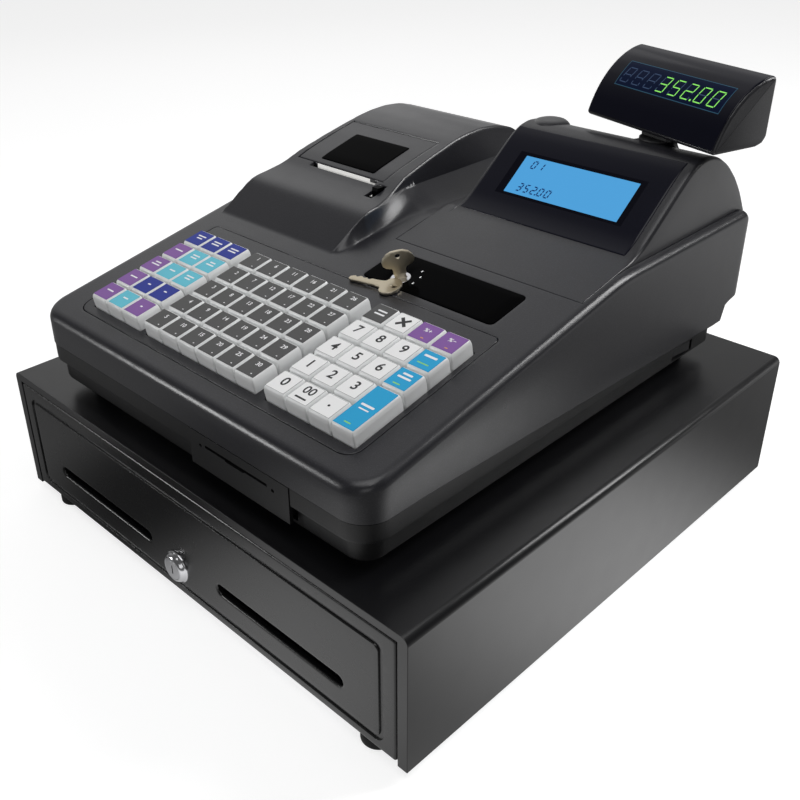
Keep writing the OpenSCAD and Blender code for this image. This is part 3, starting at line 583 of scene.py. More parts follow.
def plate(outline, z0, z1):
    """A flat plate between two heights."""
    n = len(outline)
    p = np.array(outline, float)
    points = np.vstack([np.c_[p, np.full(n, z0)], np.c_[p, np.full(n, z1)]])
    faces = [[i, (i + 1) % n, n + (i + 1) % n, n + i] for i in range(n)]
    faces.append([n + i for i in range(n)])
    faces.append(list(range(n))[::-1])
    return points, faces


def smooth_min(a, b, k):
    h = np.clip(0.5 + 0.5 * (b - a) / k, 0, 1)
    return b * (1 - h) + a * h - k * h * (1 - h)


def smooth_max(a, b, k):
    return -smooth_min(-a, -b, k)


def stations(*pairs):
    """A function with straight runs through (t, value) pairs."""
    t, values = np.array(pairs, float).T
    return lambda q: np.interp(q, t, values)


def smooth_line(pairs, sigma):
    """A smoothed function through (t, value) pairs, going straight on at both ends."""
    margin, step = 20, 0.5
    p = np.array(pairs, float)
    t = np.arange(p[0, 0] - margin, p[-1, 0] + margin, step)
    slope0 = (p[1, 1] - p[0, 1]) / (p[1, 0] - p[0, 0])
    slope1 = (p[-1, 1] - p[-2, 1]) / (p[-1, 0] - p[-2, 0])
    v = np.interp(t, p[:, 0], p[:, 1])
    v = np.where(t < p[0, 0], p[0, 1] + slope0 * (t - p[0, 0]), v)
    v = np.where(t > p[-1, 0], p[-1, 1] + slope1 * (t - p[-1, 0]), v)
    reach = int(4 * sigma / step)
    k = np.arange(-reach, reach + 1) * step
    weights = np.exp(-k * k / (2 * sigma * sigma))
    weights /= weights.sum()
    before = v[0] - slope0 * step * np.arange(reach, 0, -1)
    after = v[-1] + slope1 * step * np.arange(1, reach + 1)
    smoothed = np.convolve(np.r_[before, v, after], weights, "valid")
    return lambda q: np.interp(q, t, smoothed)


class Profile:
    """A z = height(y) line measured by its arc length s from the start."""

    def __init__(self, height, start, end):
        y = np.linspace(start - 5, end + 5, 1600)
        z = height(y)
        s = np.r_[0, np.cumsum(np.hypot(np.diff(y), np.diff(z)))]
        self.s = s - np.interp(start, y, s)
        dy, dz = np.gradient(y), np.gradient(z)
        norm = np.hypot(dy, dz)
        self.columns = (y, z, -dz / norm, dy / norm)
        self.length = float(np.interp(end, y, self.s))

    def place(self, points, lift):
        """Puts (x, s) points on the line, lifted along its normal."""
        points = np.asarray(points, float)
        y, z, ny, nz = (np.interp(points[:, 1], self.s, column) for column in self.columns)
        return np.c_[points[:, 0], y + ny * lift, z + nz * lift]

    def s_at(self, y):
        s = np.linspace(-4, self.length + 4, 800)
        return float(np.interp(y, np.interp(s, self.s, self.columns[0]), s))

    def lens(self, x0, x1, r, thick, rows=28):
        """A curved, rounded, slightly proud lens along the whole line."""
        outline = densify(round_rect(x0, x1, 0.0, self.length, r, steps=6), 4.0)
        plan, tris, to_edge, _ = sheet(
            outline, [], np.arange(x0 + 3, x1 - 2, 5.0),
            np.arange(2.0, self.length - 1, self.length / rows), rings=(0.15, 0.4, 0.8, 1.6))
        top = self.place(plan, thick - fillet(to_edge, 0.8))
        below = dict(zip(map(tuple, top), self.place(plan, -0.9)))
        return skirts(top, tris, lambda p: [below[p]])

    def strip(self, x0, x1, s0, s1, lift):
        """A rectangle that follows the line."""
        rows = 14
        plan = [(x, s) for s in np.linspace(s0, s1, rows + 1) for x in (x0, x1)]
        faces = [[2 * i, 2 * i + 1, 2 * i + 3, 2 * i + 2] for i in range(rows)]
        return self.place(plan, lift), faces

    def patch(self, outline, lift):
        """A single face on the line."""
        return self.place(outline, lift), [list(range(len(outline)))]


# ------------------------------------------------------------------ upper case
# (y, z) top line of the printer pod
PRINTER_LINE = [
    (169, 194.5), (199.5, 215.6), (204, 216.9), (220, 219.2), (232, 221.6), (243, 226),
    (252, 229.2), (267, 233), (283, 237), (300, 240.5), (312, 243.2), (328, 245.3), (346, 246),
    (364, 244.3), (383, 239), (401, 226), (412.5, 208)]
pod_top = smooth_line(PRINTER_LINE, 3.0)
# (x, z) of the printer pod's left flank
pod_left = smooth_line([(-153.4, 175), (-152.8, 200), (-151.5, 214), (-148.3, 224),
                        (-145.6, 236), (-144.0, 250)], 0.5)
RIDGE_START = 199.4  # y where the pod's front slope meets its top
# the pod's right flank by y: its foot, its ridge and the slope above the ridge
foot_x = stations((168, -19.8), (190, -18.6), (200, -17.4), (218, -12.5), (263, 0.2), (300, 0.2))
ridge_x = stations((168, -27.3), (174, -26.8), (188, -25.6), (199.4, -24.0), (214, -24.8),
                   (232, -28.4), (252, -31.0))
ridge_z = stations((199.4, 215.6), (214, 218.6), (232, 221.0), (252, 221.5))
ridge_slope = stations((199, 2.2), (232, 4.2))
flank_power = stations((186, 1.0), (204, 2.4), (235, 2.2), (263, 1.6), (300, 1.3))


def pod_front(y):
    (y0, z0), (y1, z1) = PRINTER_LINE[:2]
    return z0 + (y - y0) * (z1 - z0) / (y1 - y0)


def pod_right(x, y):
    deck = deck_z(np.minimum(y, 246)) - 1.0
    top = np.where(y < RIDGE_START, np.maximum(pod_front(y), deck + 0.6), ridge_z(y))
    rise = (foot_x(y) - x) / (foot_x(y) - ridge_x(y))
    low = deck + (top - deck) * np.sign(rise) * np.abs(rise) ** flank_power(y)
    high = top + (ridge_x(y) - x) * ridge_slope(y)
    return np.where(x > ridge_x(y), low, high)


def case_z(x, y):
    """Height of the upper case: the deck, flat and then falling at the back, and the pod."""
    deck = deck_z(y)
    body = smooth_min(deck, np.full_like(deck, 210.0), 2.5)
    body = smooth_min(body, 210.0 - (y - 405.0) * 0.65, 3.0)
    front = pod_front(y) + np.where(y < 190, 0, 60)
    pod = smooth_min(np.minimum(pod_top(y), front), pod_left(x), 3.5)
    pod = smooth_min(pod, pod_right(x, y), np.interp(y, [185, 235], [1.6, 3.4]))
    pod = np.where(y < 199.5, np.minimum(pod, pod_front(y)), pod)
    return smooth_max(body, pod, 0.8)


def deck_plan(outline):
    """Plan view of an outline drawn on the deck."""
    return [(x, y * DECK_COS) for x, y in outline]


def keyboard_outline(gap, steps):
    return round_rect(-138 - gap, 138 + gap, 27.5 - gap, 155.5 + gap, 10 + gap, 4 + gap, steps)


def ridge_loops():
    """Thin loops round the ridge, so that the mesh follows it."""
    y = np.arange(169.5, 402.0, 1.5)
    x = np.where(y < RIDGE_START, ridge_x(y),
                 ridge_x(y) - np.maximum(pod_top(y) - ridge_z(y), 0.0) / ridge_slope(y))
    x = np.convolve(np.r_[[x[0]] * 3, x, [x[-1]] * 3], np.ones(7) / 7.0, "valid")
    return [[(a - d, b) for a, b in zip(x, y)] + [(a + d, b) for a, b in zip(x[::-1], y[::-1])]
            for d in (0.3, 0.75, 1.3)]


CASE_OUTLINE = densify(round_rect(-165, 165, 10, 416, 20, 12, steps=12), 4.0)
CASE_HOLES = [
    densify(deck_plan(keyboard_outline(0.4, 8)), 6),
    densify(rect(0.2, 157.8, 207, 412.3), 5),  # display pod
    densify([(-141, 241), (-122, 241), (-122, 236.4), (-50, 236.4), (-50, 241), (-45, 241),
             (-45, 304.6), (-141, 304.6)], 3),  # printer cover and paper slot
    densify(rect(-46, -38.4, 221.6, 238), 3),  # cover lever
    densify(deck_plan(round_rect(12.8, 125.2, 163.3, 199.7, 3.9, steps=5)), 5),  # mode plate
]
CASE_GRID_X = stops((-164, -156, 2.5), (-156, -142.5, 0.7), (-142.5, -43, 3.2), (-43, -31, 1.1),
                    (-31, -15, 0.65), (-15, 1.5, 1.4), (1.5, 166, 3.4))
CASE_GRID_Y = stops((11, 164, 3.4), (164, 174, 0.8), (174, 194, 1.6), (194, 206, 1.0),
                    (206, 238, 2.4), (238, 252, 1.4), (252, 400, 2.8), (400, 416, 1.0))
# (y, z) of the upper case's lower rim
seam_z = stations((10, 140), (60, 140), (388, 127.4), (392, 140), (411, 143.5), (416, 150))
CASE_ROUNDING = 6.0


def case_rule(p):
    x, y, z = p
    if distance(np.array([[x, y]]), CASE_OUTLINE)[0] < 0.05:
        rim = seam_z(y)
        heights = (z + (rim - z) * 0.35, z + (rim - z) * 0.7, rim + 0.8, rim)
        return [(x, y, height) for height in heights]
    return [(x, y, z - 2.6)]


plan, tris, to_edge, to_hole = sheet(
    CASE_OUTLINE, CASE_HOLES, CASE_GRID_X, CASE_GRID_Y, rings=arc_rings(CASE_ROUNDING, 6) + [7.5],
    hole_rings=(0.25, 0.7), extra=ridge_loops(), gap=0.8)
z = case_z(plan[:, 0], plan[:, 1]) - fillet(to_edge, CASE_ROUNDING) - fillet(to_hole, 0.45)
points, faces = skirts(np.c_[plan, z], tris, case_rule)
piece = add_piece("upper_case", points, faces, "register", [CASE], 42)
add_wall(piece, 2.2)
register_as(piece, "top_case")

# underside of the rear overhang, in the darker case plastic with painted shade
outline = densify(round_rect(-165, 165, 388, 416, 0.5, 12, steps=8), 5)
plan, tris, _, _ = sheet(outline, [], stops((-160, 165, 12)), stops((390, 416, 3)))
piece = add_piece("upper_case_underside", np.c_[plan, seam_z(plan[:, 1])], tris[:, ::-1],
                  "register", [CASE_SHADED], 60)
register_as(piece)

# ------------------------------------------------------------------ lower case
LOWER_OUTLINE = densify(round_rect(-165, 165, 10, 388.5, 20, 8, steps=10), 5.0)
lower_rim = stations((0, 139.5), (60, 139.5), (388, 127.0), (420, 127.0))
# (inset, height) of the side, from the bottom up
LOWER_SIDE = [(10.5, 110.2), (7.5, 110.2), (6.2, 110.8), (5.6, 112.4), (5.5, 124.4), (4.8, 125.0),
              (3.4, 125.3), (1.6, 126.2), (0.7, 127.0)]


def lower_ring(d, height):
    """The outline inset by d, at one height or at a height that depends on y."""
    p = inset(LOWER_OUTLINE, d)
    return np.c_[p, height(p[:, 1]) if callable(height) else np.full(len(p), height)]


rings = [lower_ring(d, height) for d, height in LOWER_SIDE]
rings += [lower_ring(0.5, lambda y: np.minimum(128.6, lower_rim(y) - 0.4)),
          lower_ring(0.5, lambda y: lower_rim(y) - 0.25),
          lower_ring(0.9, lower_rim), lower_ring(6.0, lower_rim)]
# the lower case takes the darker case plastic, with painted shade
piece = add_piece("lower_case", *loft(rings), "register", [CASE_SHADED], 40)
even_normals(piece)
register_as(piece, "base_case")
cut_box(piece, (10.4, 5, 113.4), (104.6, 22, 150))  # recess in the front
cut_box(piece, (156.8, 331.5, 112.6), (175, 358.5, 125.0))  # recess in the right side

# ------------------------------------------------------------------ display pod
# (y, z) top line
display_top = smooth_line([
    (200, deck_z(200)), (262, deck_z(262)), (269, 216), (276, 219.8), (285, 226.6), (300, 238),
    (317, 251), (325, 256.6), (333, 260.3), (342, 262), (352, 261.3), (364, 257.2), (377, 249.5),
    (390, 238), (401, 225), (412, 208)], 2.2)
POD_RIGHT_X = 157.7
POD_WALL_X = 9.7  # left wall of the raised part; a low ledge lies beyond it
LEDGE_Z = 213.4
STEM_HOLE_R = 10.06
STEM_PAD_R, STEM_PAD_Z = 13.8, 261.8  # least height round the stem

plan, tris, to_edge, _ = sheet(
    densify(rect(0.3, POD_RIGHT_X, 207.1, 412.2), 3.0), [circle(*STEM, STEM_HOLE_R, 40)],
    stops((2.6, 7.6, 2.4), (7.9, 9.75, 0.22), (9.9, 13.4, 0.55), (14.5, 157, 4)),
    stops((209, 262, 3), (262, 412, 2.0)), rings=arc_rings(3.0, 6) + [4.6], hole_rings=(0.3, 1.0))
x, y = plan.T
tall = np.clip((y - 252) / 22.0, 0, 1)  # 0 on the deck, 1 on the raised part
stem_distance = np.hypot(x - STEM[0], y - STEM[1])
crest = smooth_max(display_top(y), np.where(stem_distance < STEM_PAD_R, STEM_PAD_Z, 0.0), 0.4)
ledge = np.minimum(crest, LEDGE_Z)
wall_r = np.interp(y, [260, 330, 350], [1.3, 1.8, 3.2])
wall_x = POD_WALL_X - np.interp(y, [262, 330], [0.9, 0.0])
raised = crest - fillet(x - wall_x, wall_r) * tall
lowered = np.maximum(ledge, crest - wall_r * tall - (wall_x - x) * 30.0)
z = np.where(x >= wall_x, raised, lowered) - fillet(POD_RIGHT_X - x, 3.2) * tall
z = z - fillet(np.minimum(to_edge, 4), 0.45) * np.where(x < wall_x, 1.0, 1 - tall)


def pod_rule(p):
    x, y, z = p
    if abs(math.hypot(x - STEM[0], y - STEM[1]) - STEM_HOLE_R) < 0.2:
        return [(x, y, z - 6)]
    bottom = min(min(deck_z(y), 207.4) - 2.0, z - 0.3)
    return [(x, y, z + (bottom - z) * t) for t in (0.5, 1.0)]


points, faces = skirts(np.c_[plan, z], tris, pod_rule)
piece = add_piece("display_pod_shell", points, faces, "register", [CASE], 42)
add_wall(piece, 2.0)
register_as(piece, "display_pod")

# low dome at the pod's back left, from (radius, z)
DOME = [(15.4, 244.0), (15.4, 256.6), (15.2, 257.8), (14.5, 259.4), (13.2, 261.0), (11.4, 262.3),
        (9.2, 263.0), (6.0, 263.2), (3.0, 263.2)]
piece = add_piece("display_pod_dome", *loft(turned_rings(DOME, 25.5, 350, 48)), "register",
                  [CASE], 45)
register_as(piece)

LENS_PROUD = 0.45
lens_line = Profile(display_top, 263.6, 331.5)
piece = add_piece("display_lens_cover", *lens_line.lens(11.2, 150.2, 0.7, LENS_PROUD, rows=34),
                  "register", [LENS], 45)
register_as(piece, "display_lens")

# ------------------------------------------------------------------ operator display
SEGMENTS = {"0": "abcdef", "1": "bc", "2": "abged", "3": "abgcd", "4": "fgbc", "5": "afgcd",
            "6": "afgedc", "7": "abc", "8": "abcdefg", "9": "abcdfg"}


def digit_outlines(char, w, h, t, slant):
    """Seven-segment strokes of one digit, w by h with strokes t thick, corner at the origin."""
    g = t * 0.16
    m = h / 2
    low, high = m - g - t * .4, m + g + t * .4
    strokes = {
        "a": [(g + t * .5, h), (w - g - t * .5, h), (w - g - t * 1.1, h - t),
              (g + t * 1.1, h - t)],
        "d": [(g + t * 1.1, t), (w - g - t * 1.1, t), (w - g - t * .5, 0), (g + t * .5, 0)],
        "g": [(g + t * .9, m + t / 2), (w - g - t * .9, m + t / 2), (w - g - t * .45, m),
              (w - g - t * .9, m - t / 2), (g + t * .9, m - t / 2), (g + t * .45, m)],
        "f": [(0, h - g - t * .5), (t, h - g - t * 1.1), (t, high), (t * .5, m + g), (0, high)],
        "b": [(w, h - g - t * .5), (w, high), (w - t * .5, m + g), (w - t, high),
              (w - t, h - g - t * 1.1)],
        "e": [(0, g + t * .5), (0, low), (t * .5, m - g), (t, low), (t, g + t * 1.1)],
        "c": [(w, g + t * .5), (w - t, g + t * 1.1), (w - t, low), (w - t * .5, m - g),
              (w, low)],
    }
    outlines = []
    for segment in SEGMENTS[char]:
        stroke = strokes[segment]
        stroke = stroke if signed_area(stroke) > 0 else stroke[::-1]
        outlines.append([(x + y * slant, y) for x, y in stroke])
    return outlines


def add_digit(build, line, char, x, s, mat, lift, w, h, t, slant):
    for outline in digit_outlines(char, w, h, t, slant):
        build.add(*line.patch([(a + x, b + s) for a, b in outline], lift), mat)


def add_lcd_text(build, text, x, s):
    width, stroke, pitch, lift = 4.2, 1.0, 6.0, 0.62
    dot = stroke * 1.15
    for char in text:
        if char == ".":
            dot_x = x - pitch + width + 0.6
            build.add(*lens_line.patch(rect(dot_x, dot_x + dot, s, s + dot), lift), LCD_INK)
            continue
        add_digit(build, lens_line, char, x, s, LCD_INK, lift, w=width, h=7.2, t=stroke,
                  slant=0.14)
        x += pitch


low, high = lens_line.s_at(284.3), lens_line.s_at(309.6)
build = Build()
build.add(*lens_line.strip(28.2, 134.0, low - 2.6, high + 3.6, lift=0.50), LCD_EDGE)
build.add(*lens_line.strip(35.0, 129.5, low - 0.4, high + 0.6, lift=0.56), LCD)
add_lcd_text(build, "352.00", 43.0, low + 2.4)
add_lcd_text(build, "01", 43.0, high - 9.2)
register_as(build.make("display_lit_area", "register", 30), "lcd_module")

# ------------------------------------------------------------------ printer cover and window
outline = densify(round_rect(-140.6, -45.4, 241.6, 304.0, 1.6, 1.0, steps=4), 3.0)
plan, tris, to_edge, _ = sheet(outline, [], stops((-139, -46, 3.0)), stops((243, 304, 2.2)),
                               rings=(0.2, 0.6, 1.2, 2.0))
points = np.c_[plan, pod_top(plan[:, 1]) - 0.35 - fillet(to_edge, 1.0)]
points, faces = skirts(points, tris, lambda p: [(p[0], p[1], p[2] - 2.0)])
piece = add_piece("printer_cover_lid", points, faces, "printer_cover", [CASE], 42)
add_wall(piece, 1.8)
even_normals(piece)
register_as(piece, "printer_cover")

window_line = Profile(pod_top, 246.5, 287.5)
piece = add_piece("printer_cover_window", *window_line.lens(-119.8, -60.4, 2.0, 0.15),
                  "printer_cover", [GLOSS], 45)
register_as(piece, "printer_window")

# the paper: the strip forward from the roll, and its short end standing up out of the slot
PAPER_X = (-115, -57)
PAPER_THICK = 0.22
PAPER_LYING = [(291, 225.2), (286, 225.0), (270, 220.8), (255, 215.6), (243, 211.2)]  # (y, z)
PAPER_RISING = [(240.4, 211.4), (239.5, 213.5), (239.2, 217), (239.1, 222), (239.0, 225.6)]


def paper_ring(y, z, dy, dz):
    left, right = PAPER_X
    return [(left, y, z), (right, y, z), (right, y + dy, z + dz), (left, y + dy, z + dz)]


rings = [paper_ring(y, z, 0.0, PAPER_THICK) for y, z in PAPER_LYING]
rings += [paper_ring(y, z, -PAPER_THICK, 0.0) for y, z in PAPER_RISING]
# its material glows a little: painted light
piece = add_piece("paper_strip", *loft(rings), "register", [PAPER_GLOW], 40, fix=True)
register_as(piece, "paper_web")

# ------------------------------------------------------------------ keyboard
PITCH_X, PITCH_Y = 19.05, 20.39
BLOCK_X = (-118.6, -55.2, 67.5)  # first column of the left, middle and right blocks
BLOCK_COLUMNS = (3, 6, 4)
ROWS = 5
FIRST_ROW_Y = 44.85
KEY_W, KEY_L = 17.95, 19.3
WELL_GAP = 0.7


def key_x(block, column):
    return BLOCK_X[block] + PITCH_X * column


def key_y(row):
    return FIRST_ROW_Y + PITCH_Y * row


def well(block, columns):
    """Opening round a block of keys."""
    return densify(round_rect(
        key_x(block, 0) - KEY_W / 2 - WELL_GAP, key_x(block, columns - 1) + KEY_W / 2 + WELL_GAP,
        key_y(0) - KEY_L / 2 - WELL_GAP, key_y(ROWS - 1) + KEY_L / 2 + WELL_GAP, 0.8, steps=3), 8)


plan, tris, to_edge, to_hole = sheet(
    densify(keyboard_outline(0, 10), 6), [well(*block) for block in enumerate(BLOCK_COLUMNS)],
    stops((-136, 138, 7)), stops((29, 155, 7)), rings=(0.1, 0.3, 0.6, 1.2),
    hole_rings=(0.15, 0.4))
points = np.c_[plan, 0.02 - fillet(to_edge, 0.6) - fillet(to_hole, 0.4)]
points, faces = skirts(points, tris, lambda p: [(p[0], p[1], p[2] - d) for d in (2.0, 7.0)])
piece = add_piece("keyboard_surround", on_deck(points), faces, "register", [CASE], 42)
even_normals(piece)
register_as(piece, "keyboard_panel")

# (inset, height) up the side of a key cap
CAP_SIDE = [(0.0, -4.0), (0.0, 6.2), (0.12, 7.4), (0.45, 8.8), (0.75, 9.55), (1.15, 9.9),
            (1.8, 10.0)]
LABEL_W, LABEL_MARGIN = 15.5, 3.7  # width; key length less label length
LABEL_OFFSET = np.array([-0.15, 0.15, 0.0])
MARK_Z = 10.17  # top of the printing


def centred_rect(w, h, r, x=0.0, y=0.0, steps=2):
    return round_rect(x - w / 2, x + w / 2, y - h / 2, y + h / 2, r, steps=steps)


def sign(text, size=7.0, x=0.3, y=0.9, mat=INK):
    """Flat printed text about a point of the label; size is the digit height."""
    curve = bpy.data.curves.new("text", "FONT")
    curve.body = text
    curve.align_x = "CENTER"
    curve.offset = 0.018
    holder = bpy.data.objects.new("text", curve)
    SCENE.collection.objects.link(holder)
    bpy.context.view_layer.update()
    evaluated = holder.evaluated_get(bpy.context.evaluated_depsgraph_get())
    mesh = bpy.data.meshes.new_from_object(evaluated)
    plan = np.array([vert.co[:2] for vert in mesh.vertices])
    faces = [list(face.vertices) for face in mesh.polygons]
    bpy.data.objects.remove(holder)
    bpy.data.curves.remove(curve)
    bpy.data.meshes.remove(mesh)
    plan[:, 0] -= (plan[:, 0].min() + plan[:, 0].max()) / 2
    if text != ".":
        plan[:, 1] -= (plan[:, 1].min() + plan[:, 1].max()) / 2
    plan = plan * (size / 0.70) + np.array([x, y])  # the font's digits are 0.70 high
    faces = [face if signed_area(plan[face]) > 0 else face[::-1] for face in faces]
    return np.c_[plan, np.full(len(plan), MARK_Z)], faces, mat


def bar(w, h, x, y, mat):
    """A printed bar, standing for a word, centred on a point of the label."""
    return *plate(centred_rect(w, h, min(w, h) * 0.3, x, y), 10.05, MARK_Z), mat


def add_key(build, x, y, face, marks, length=KEY_L):
    """A key cap with a framed label and its printing."""
    centre = np.array([x, y, 0.0])
    rings = []
    for d, height in CAP_SIDE:
        r = max(0.35, 1.1 - 0.2 * d)
        p = np.array(centred_rect(KEY_W - 2 * d, length - 2 * d, r, steps=3))
        rings.append(np.c_[p, np.full(len(p), height)])
    points, faces = loft(rings)
    build.add(points + centre, faces, CAP)
    centre = centre + LABEL_OFFSET
    label_l = length - LABEL_MARGIN
    points, faces = plate(centred_rect(LABEL_W + 0.44, label_l + 0.44, 0.3), 9.7, 10.07)
    build.add(points + centre, faces, LABEL_LINE if face is WHITE else face)
    points, faces = plate(centred_rect(LABEL_W, label_l, 0.25), 9.8, 10.12)
    build.add(points + centre, faces, face)
    for points, faces, mat in marks:
        build.add(points + centre, faces, mat)


def single_key(name, column, row, face, marks, length=KEY_L):
    """A moving key of the right block; a long one reaches back over the next row."""
    build = Build()
    add_key(build, key_x(2, column), key_y(row) + (length - KEY_L) / 2, face, marks, length)
    piece = build.make(name + "_cap", name, 35, on_deck)
    register_as(piece, name)


single_key("key_0", 0, 0, WHITE, [sign("0")])
single_key("key_00", 1, 0, WHITE, [sign("00", 6.2, y=2.9), bar(9.0, 1.3, 0, -4.6, INK)])
single_key("key_point", 2, 0, WHITE, [sign(".", 8.0, x=0.0, y=-0.6)])
for number in range(1, 10):
    row, column = divmod(number - 1, 3)
    single_key(f"key_{number}", column, row + 1, WHITE, [sign(str(number))])
single_key("cash_key", 3, 0, BRIGHT, [
    bar(9.8, 1.7, 0, 1.6, INK_WHITE), bar(7.6, 1.0, 0, -1.8, INK_WHITE),
    bar(5.0, 0.9, 0, -14.6, INK_GREEN)], KEY_L + PITCH_Y)
single_key("subtotal_key", 3, 2, BRIGHT, [
    bar(7.2, 1.6, 0, 4.2, INK_WHITE), bar(10.0, 1.6, 0, 0.9, INK_WHITE),
    bar(5.4, 0.9, -0.6, -5.2, INK_GREEN)])
single_key("card_key", 3, 3, BRIGHT, [
    bar(9.6, 1.8, 0, 3.6, INK_WHITE), bar(8.6, 0.9, 0, -3.6, INK_GREEN)])

# the middle block, numbered down each column from the back row
build = Build()
for column in range(BLOCK_COLUMNS[1]):
    for row in range(ROWS):
        number = ROWS * column + (ROWS - row)
        add_key(build, key_x(1, column), key_y(row), GREY,
                [sign(str(number), 3.3, 1.2, 3.2, INK_WHITE), bar(1.1, 0.7, 3.9, -5.6, INK_WHITE)])
piece = build.make("department_key_caps", "department_keys", 35, on_deck)
register_as(piece, "department_keys")

# the left block from the front row back: label and the lengths of its printed bars
FUNCTION_KEYS = [
    [(VIOLET, (7.2,)), (LIGHT, (5.4,)), (VIOLET, (2.4,))],
    [(VIOLET, (8.0,)), (DARK, (3.0,)), (DARK, (3.0,))],
    [(VIOLET, (6.4, 8.8)), (LIGHT, (6.0,)), (LIGHT, (8.0, 6.0))],
    [(VIOLET, (8.4,)), (LIGHT, (7.6, 6.4)), (LIGHT, (5.6, 8.0))],
    [(DARK, (8.8, 6.0)), (DARK, (8.8, 8.2)), (DARK, (8.8, 8.2))],
]
build = Build()
for row, keys in enumerate(FUNCTION_KEYS):
    for column, (face, lengths) in enumerate(keys):
        first_y = 1.0 if len(lengths) == 1 else 2.6
        marks = [bar(w, 1.25, 0.3, first_y - 2.9 * k, INK_WHITE) for k, w in enumerate(lengths)]
        add_key(build, key_x(0, column), key_y(row), face, marks)
BACK_ROW_KEYS = [  # of the right block
    (GREY, [bar(7.6, 1.4, 0.2, 2.4, INK_WHITE), bar(8.4, 1.4, 0.2, -0.9, INK_WHITE)]),
    (WHITE, [sign("×", 13.0, y=0.6)]),
    (VIOLET, [sign("%+", 3.2, 0.2, 2.2, INK_WHITE), bar(2.2, 0.8, 1.6, -5.4, INK_ORANGE)]),
    (VIOLET, [sign("%−", 3.2, 0.2, 2.2, INK_WHITE), bar(2.2, 0.8, 1.6, -5.4, INK_ORANGE)]),
]
for column, (face, marks) in enumerate(BACK_ROW_KEYS):
    add_key(build, key_x(2, column), key_y(ROWS - 1), face, marks)
piece = build.make("function_key_caps", "function_keys", 35, on_deck)
register_as(piece, "function_keys")

# ------------------------------------------------------------------ mode plate and keys
MODE_LOCK = (38.7, 174.6)
build = Build()
plan, tris, to_edge, to_hole = sheet(
    densify(round_rect(13, 125, 163.5, 199.5, 3.7, steps=8), 5), [circle(*MODE_LOCK, 7.4, 36)],
    stops((16, 125, 9)), stops((166, 199, 9)), rings=(0.08, 0.25, 0.5), hole_rings=(0.1, 0.3))
points = np.c_[plan, 0.4 - fillet(to_edge, 0.4) - fillet(to_hole, 0.25)]
build.add(*skirts(points, tris, lambda p: [(p[0], p[1], -1.1)]), GLOSS)
for x, y in ((46.6, 187.6), (50.3, 181.6), (50.9, 173.4)):  # white ticks round the lock
    build.add(*plate(centred_rect(1.0, 1.9, 0.3, x, y, steps=3), 0.3, 0.46), INK_WHITE)
piece = build.make("mode_plate_face", "register", 40, on_deck)
register_as(piece, "mode_plate")

# A key lies flat with its bow towards +y. The bow is drawn 11.2 to the side and 14.5 high.
BOW_W, BOW_H = 11.2, 14.5
BOW = [(4.4, 0.0), (5.2, 1.6), (8.6, 2.6), (10.6, 4.4), (11.1, 7.2), (10.2, 9.8), (7.6, 12.6),
       (4.2, 14.1), (0, 14.4), (-4.2, 14.1), (-7.6, 12.6), (-10.2, 9.8), (-11.1, 7.2),
       (-10.6, 4.4), (-8.6, 2.6), (-5.2, 1.6), (-4.4, 0.0)]
NECK = [(-4.4, -1.0), (-4.4, -3.4), (-3.9, -3.8), (-3.9, -9.0), (3.9, -9.0), (3.9, -3.8),
        (4.4, -3.4), (4.4, -1.0)]
BLADE = [(-3.4, -2.0), (-3.0, -5.0), (-3.0, -9), (-1.6, -10.2), (-1.6, -11.6), (-2.8, -12.8),
         (-2.0, -14.2), (-2.0, -15.6), (-2.9, -16.8), (-2.9, -18.4), (-1.4, -19.8),
         (-1.4, -20.8), (-2.4, -22), (-1.6, -23.6), (-0.4, -25.2), (2.2, -25.2), (2.9, -24.0),
         (2.9, -5.0), (3.4, -2.0)]


def bow(half_width, height):
    scale = half_width / BOW_W
    return [(x * scale, y * height / BOW_H) for x, y in BOW]


def metal_key(outline, hole, z0, z1):
    """A flat key with rounded edges and a hole in its bow."""
    plan, tris, to_edge, to_hole = sheet(
        densify(outline, 1.2), [hole], np.arange(-11, 12, 1.6), np.arange(-40, 16, 1.6),
        rings=(0.12, 0.35), hole_rings=(0.15,), gap=0.4)
    top = np.c_[plan, z1 - fillet(to_edge, 0.35) - fillet(to_hole, 0.25)]
    bottom = np.c_[plan, z0 + fillet(to_edge, 0.35)]
    n = len(plan)
    faces = [list(map(int, t)) for t in tris] + [[int(i) + n for i in t][::-1] for t in tris]
    faces += [[b, a, a + n, b + n] for a, b in border_edges(tris)]
    return np.vstack([top, bottom]), faces


# the key in the lock stands up from the deck
points, faces = metal_key(bow(BOW_W, BOW_H) + NECK, circle(0, 10.4, 1.9, 20), -1.1, 1.1)
points = np.c_[points[:, 0], points[:, 2], points[:, 1] + 7.0]
piece = add_piece("mode_key_bow", on_deck(swing(points, 52, MODE_LOCK)), faces, "mode_switch",
                  [KEY_METAL], 40, fix=True)
register_as(piece, "mode_key")

# the spare key lies on the deck, turned half round about a point in its bow
points, faces = metal_key(bow(9.4, 15.0) + BLADE, circle(0, 10.6, 1.8, 20), 0.6, 2.6)
points = np.c_[-points[:, 0], 8.0 - points[:, 1], points[:, 2]]
piece = add_piece("spare_key_body", on_deck(swing(points, 99.8, (42.4, 161.4))), faces,
                  "register", [KEY_METAL], 40, fix=True)
register_as(piece, "spare_key")

# ------------------------------------------------------------------ customer display
# (y, z) section of the head about the stem: bottom, one side, then down the lens side
HEAD_SECTION = [
    (-11.5, 269.2), (-9.5, 267.2), (28, 267), (34, 268.8), (37, 273), (37.5, 310.5), (36, 313),
    (28, 311.8), (20, 308.8), (12, 304), (5, 297.8), (-1, 290.6), (-6, 282.4), (-10, 273.6)]
LENS_SIDE = HEAD_SECTION[:1] + HEAD_SECTION[:5:-1]
HEAD_HALF = 63.0
# (distance from the end, inset of the section)
HEAD_ENDS = [(0.0, 2.4), (0.25, 1.3), (0.9, 0.5), (2.2, 0.0)]

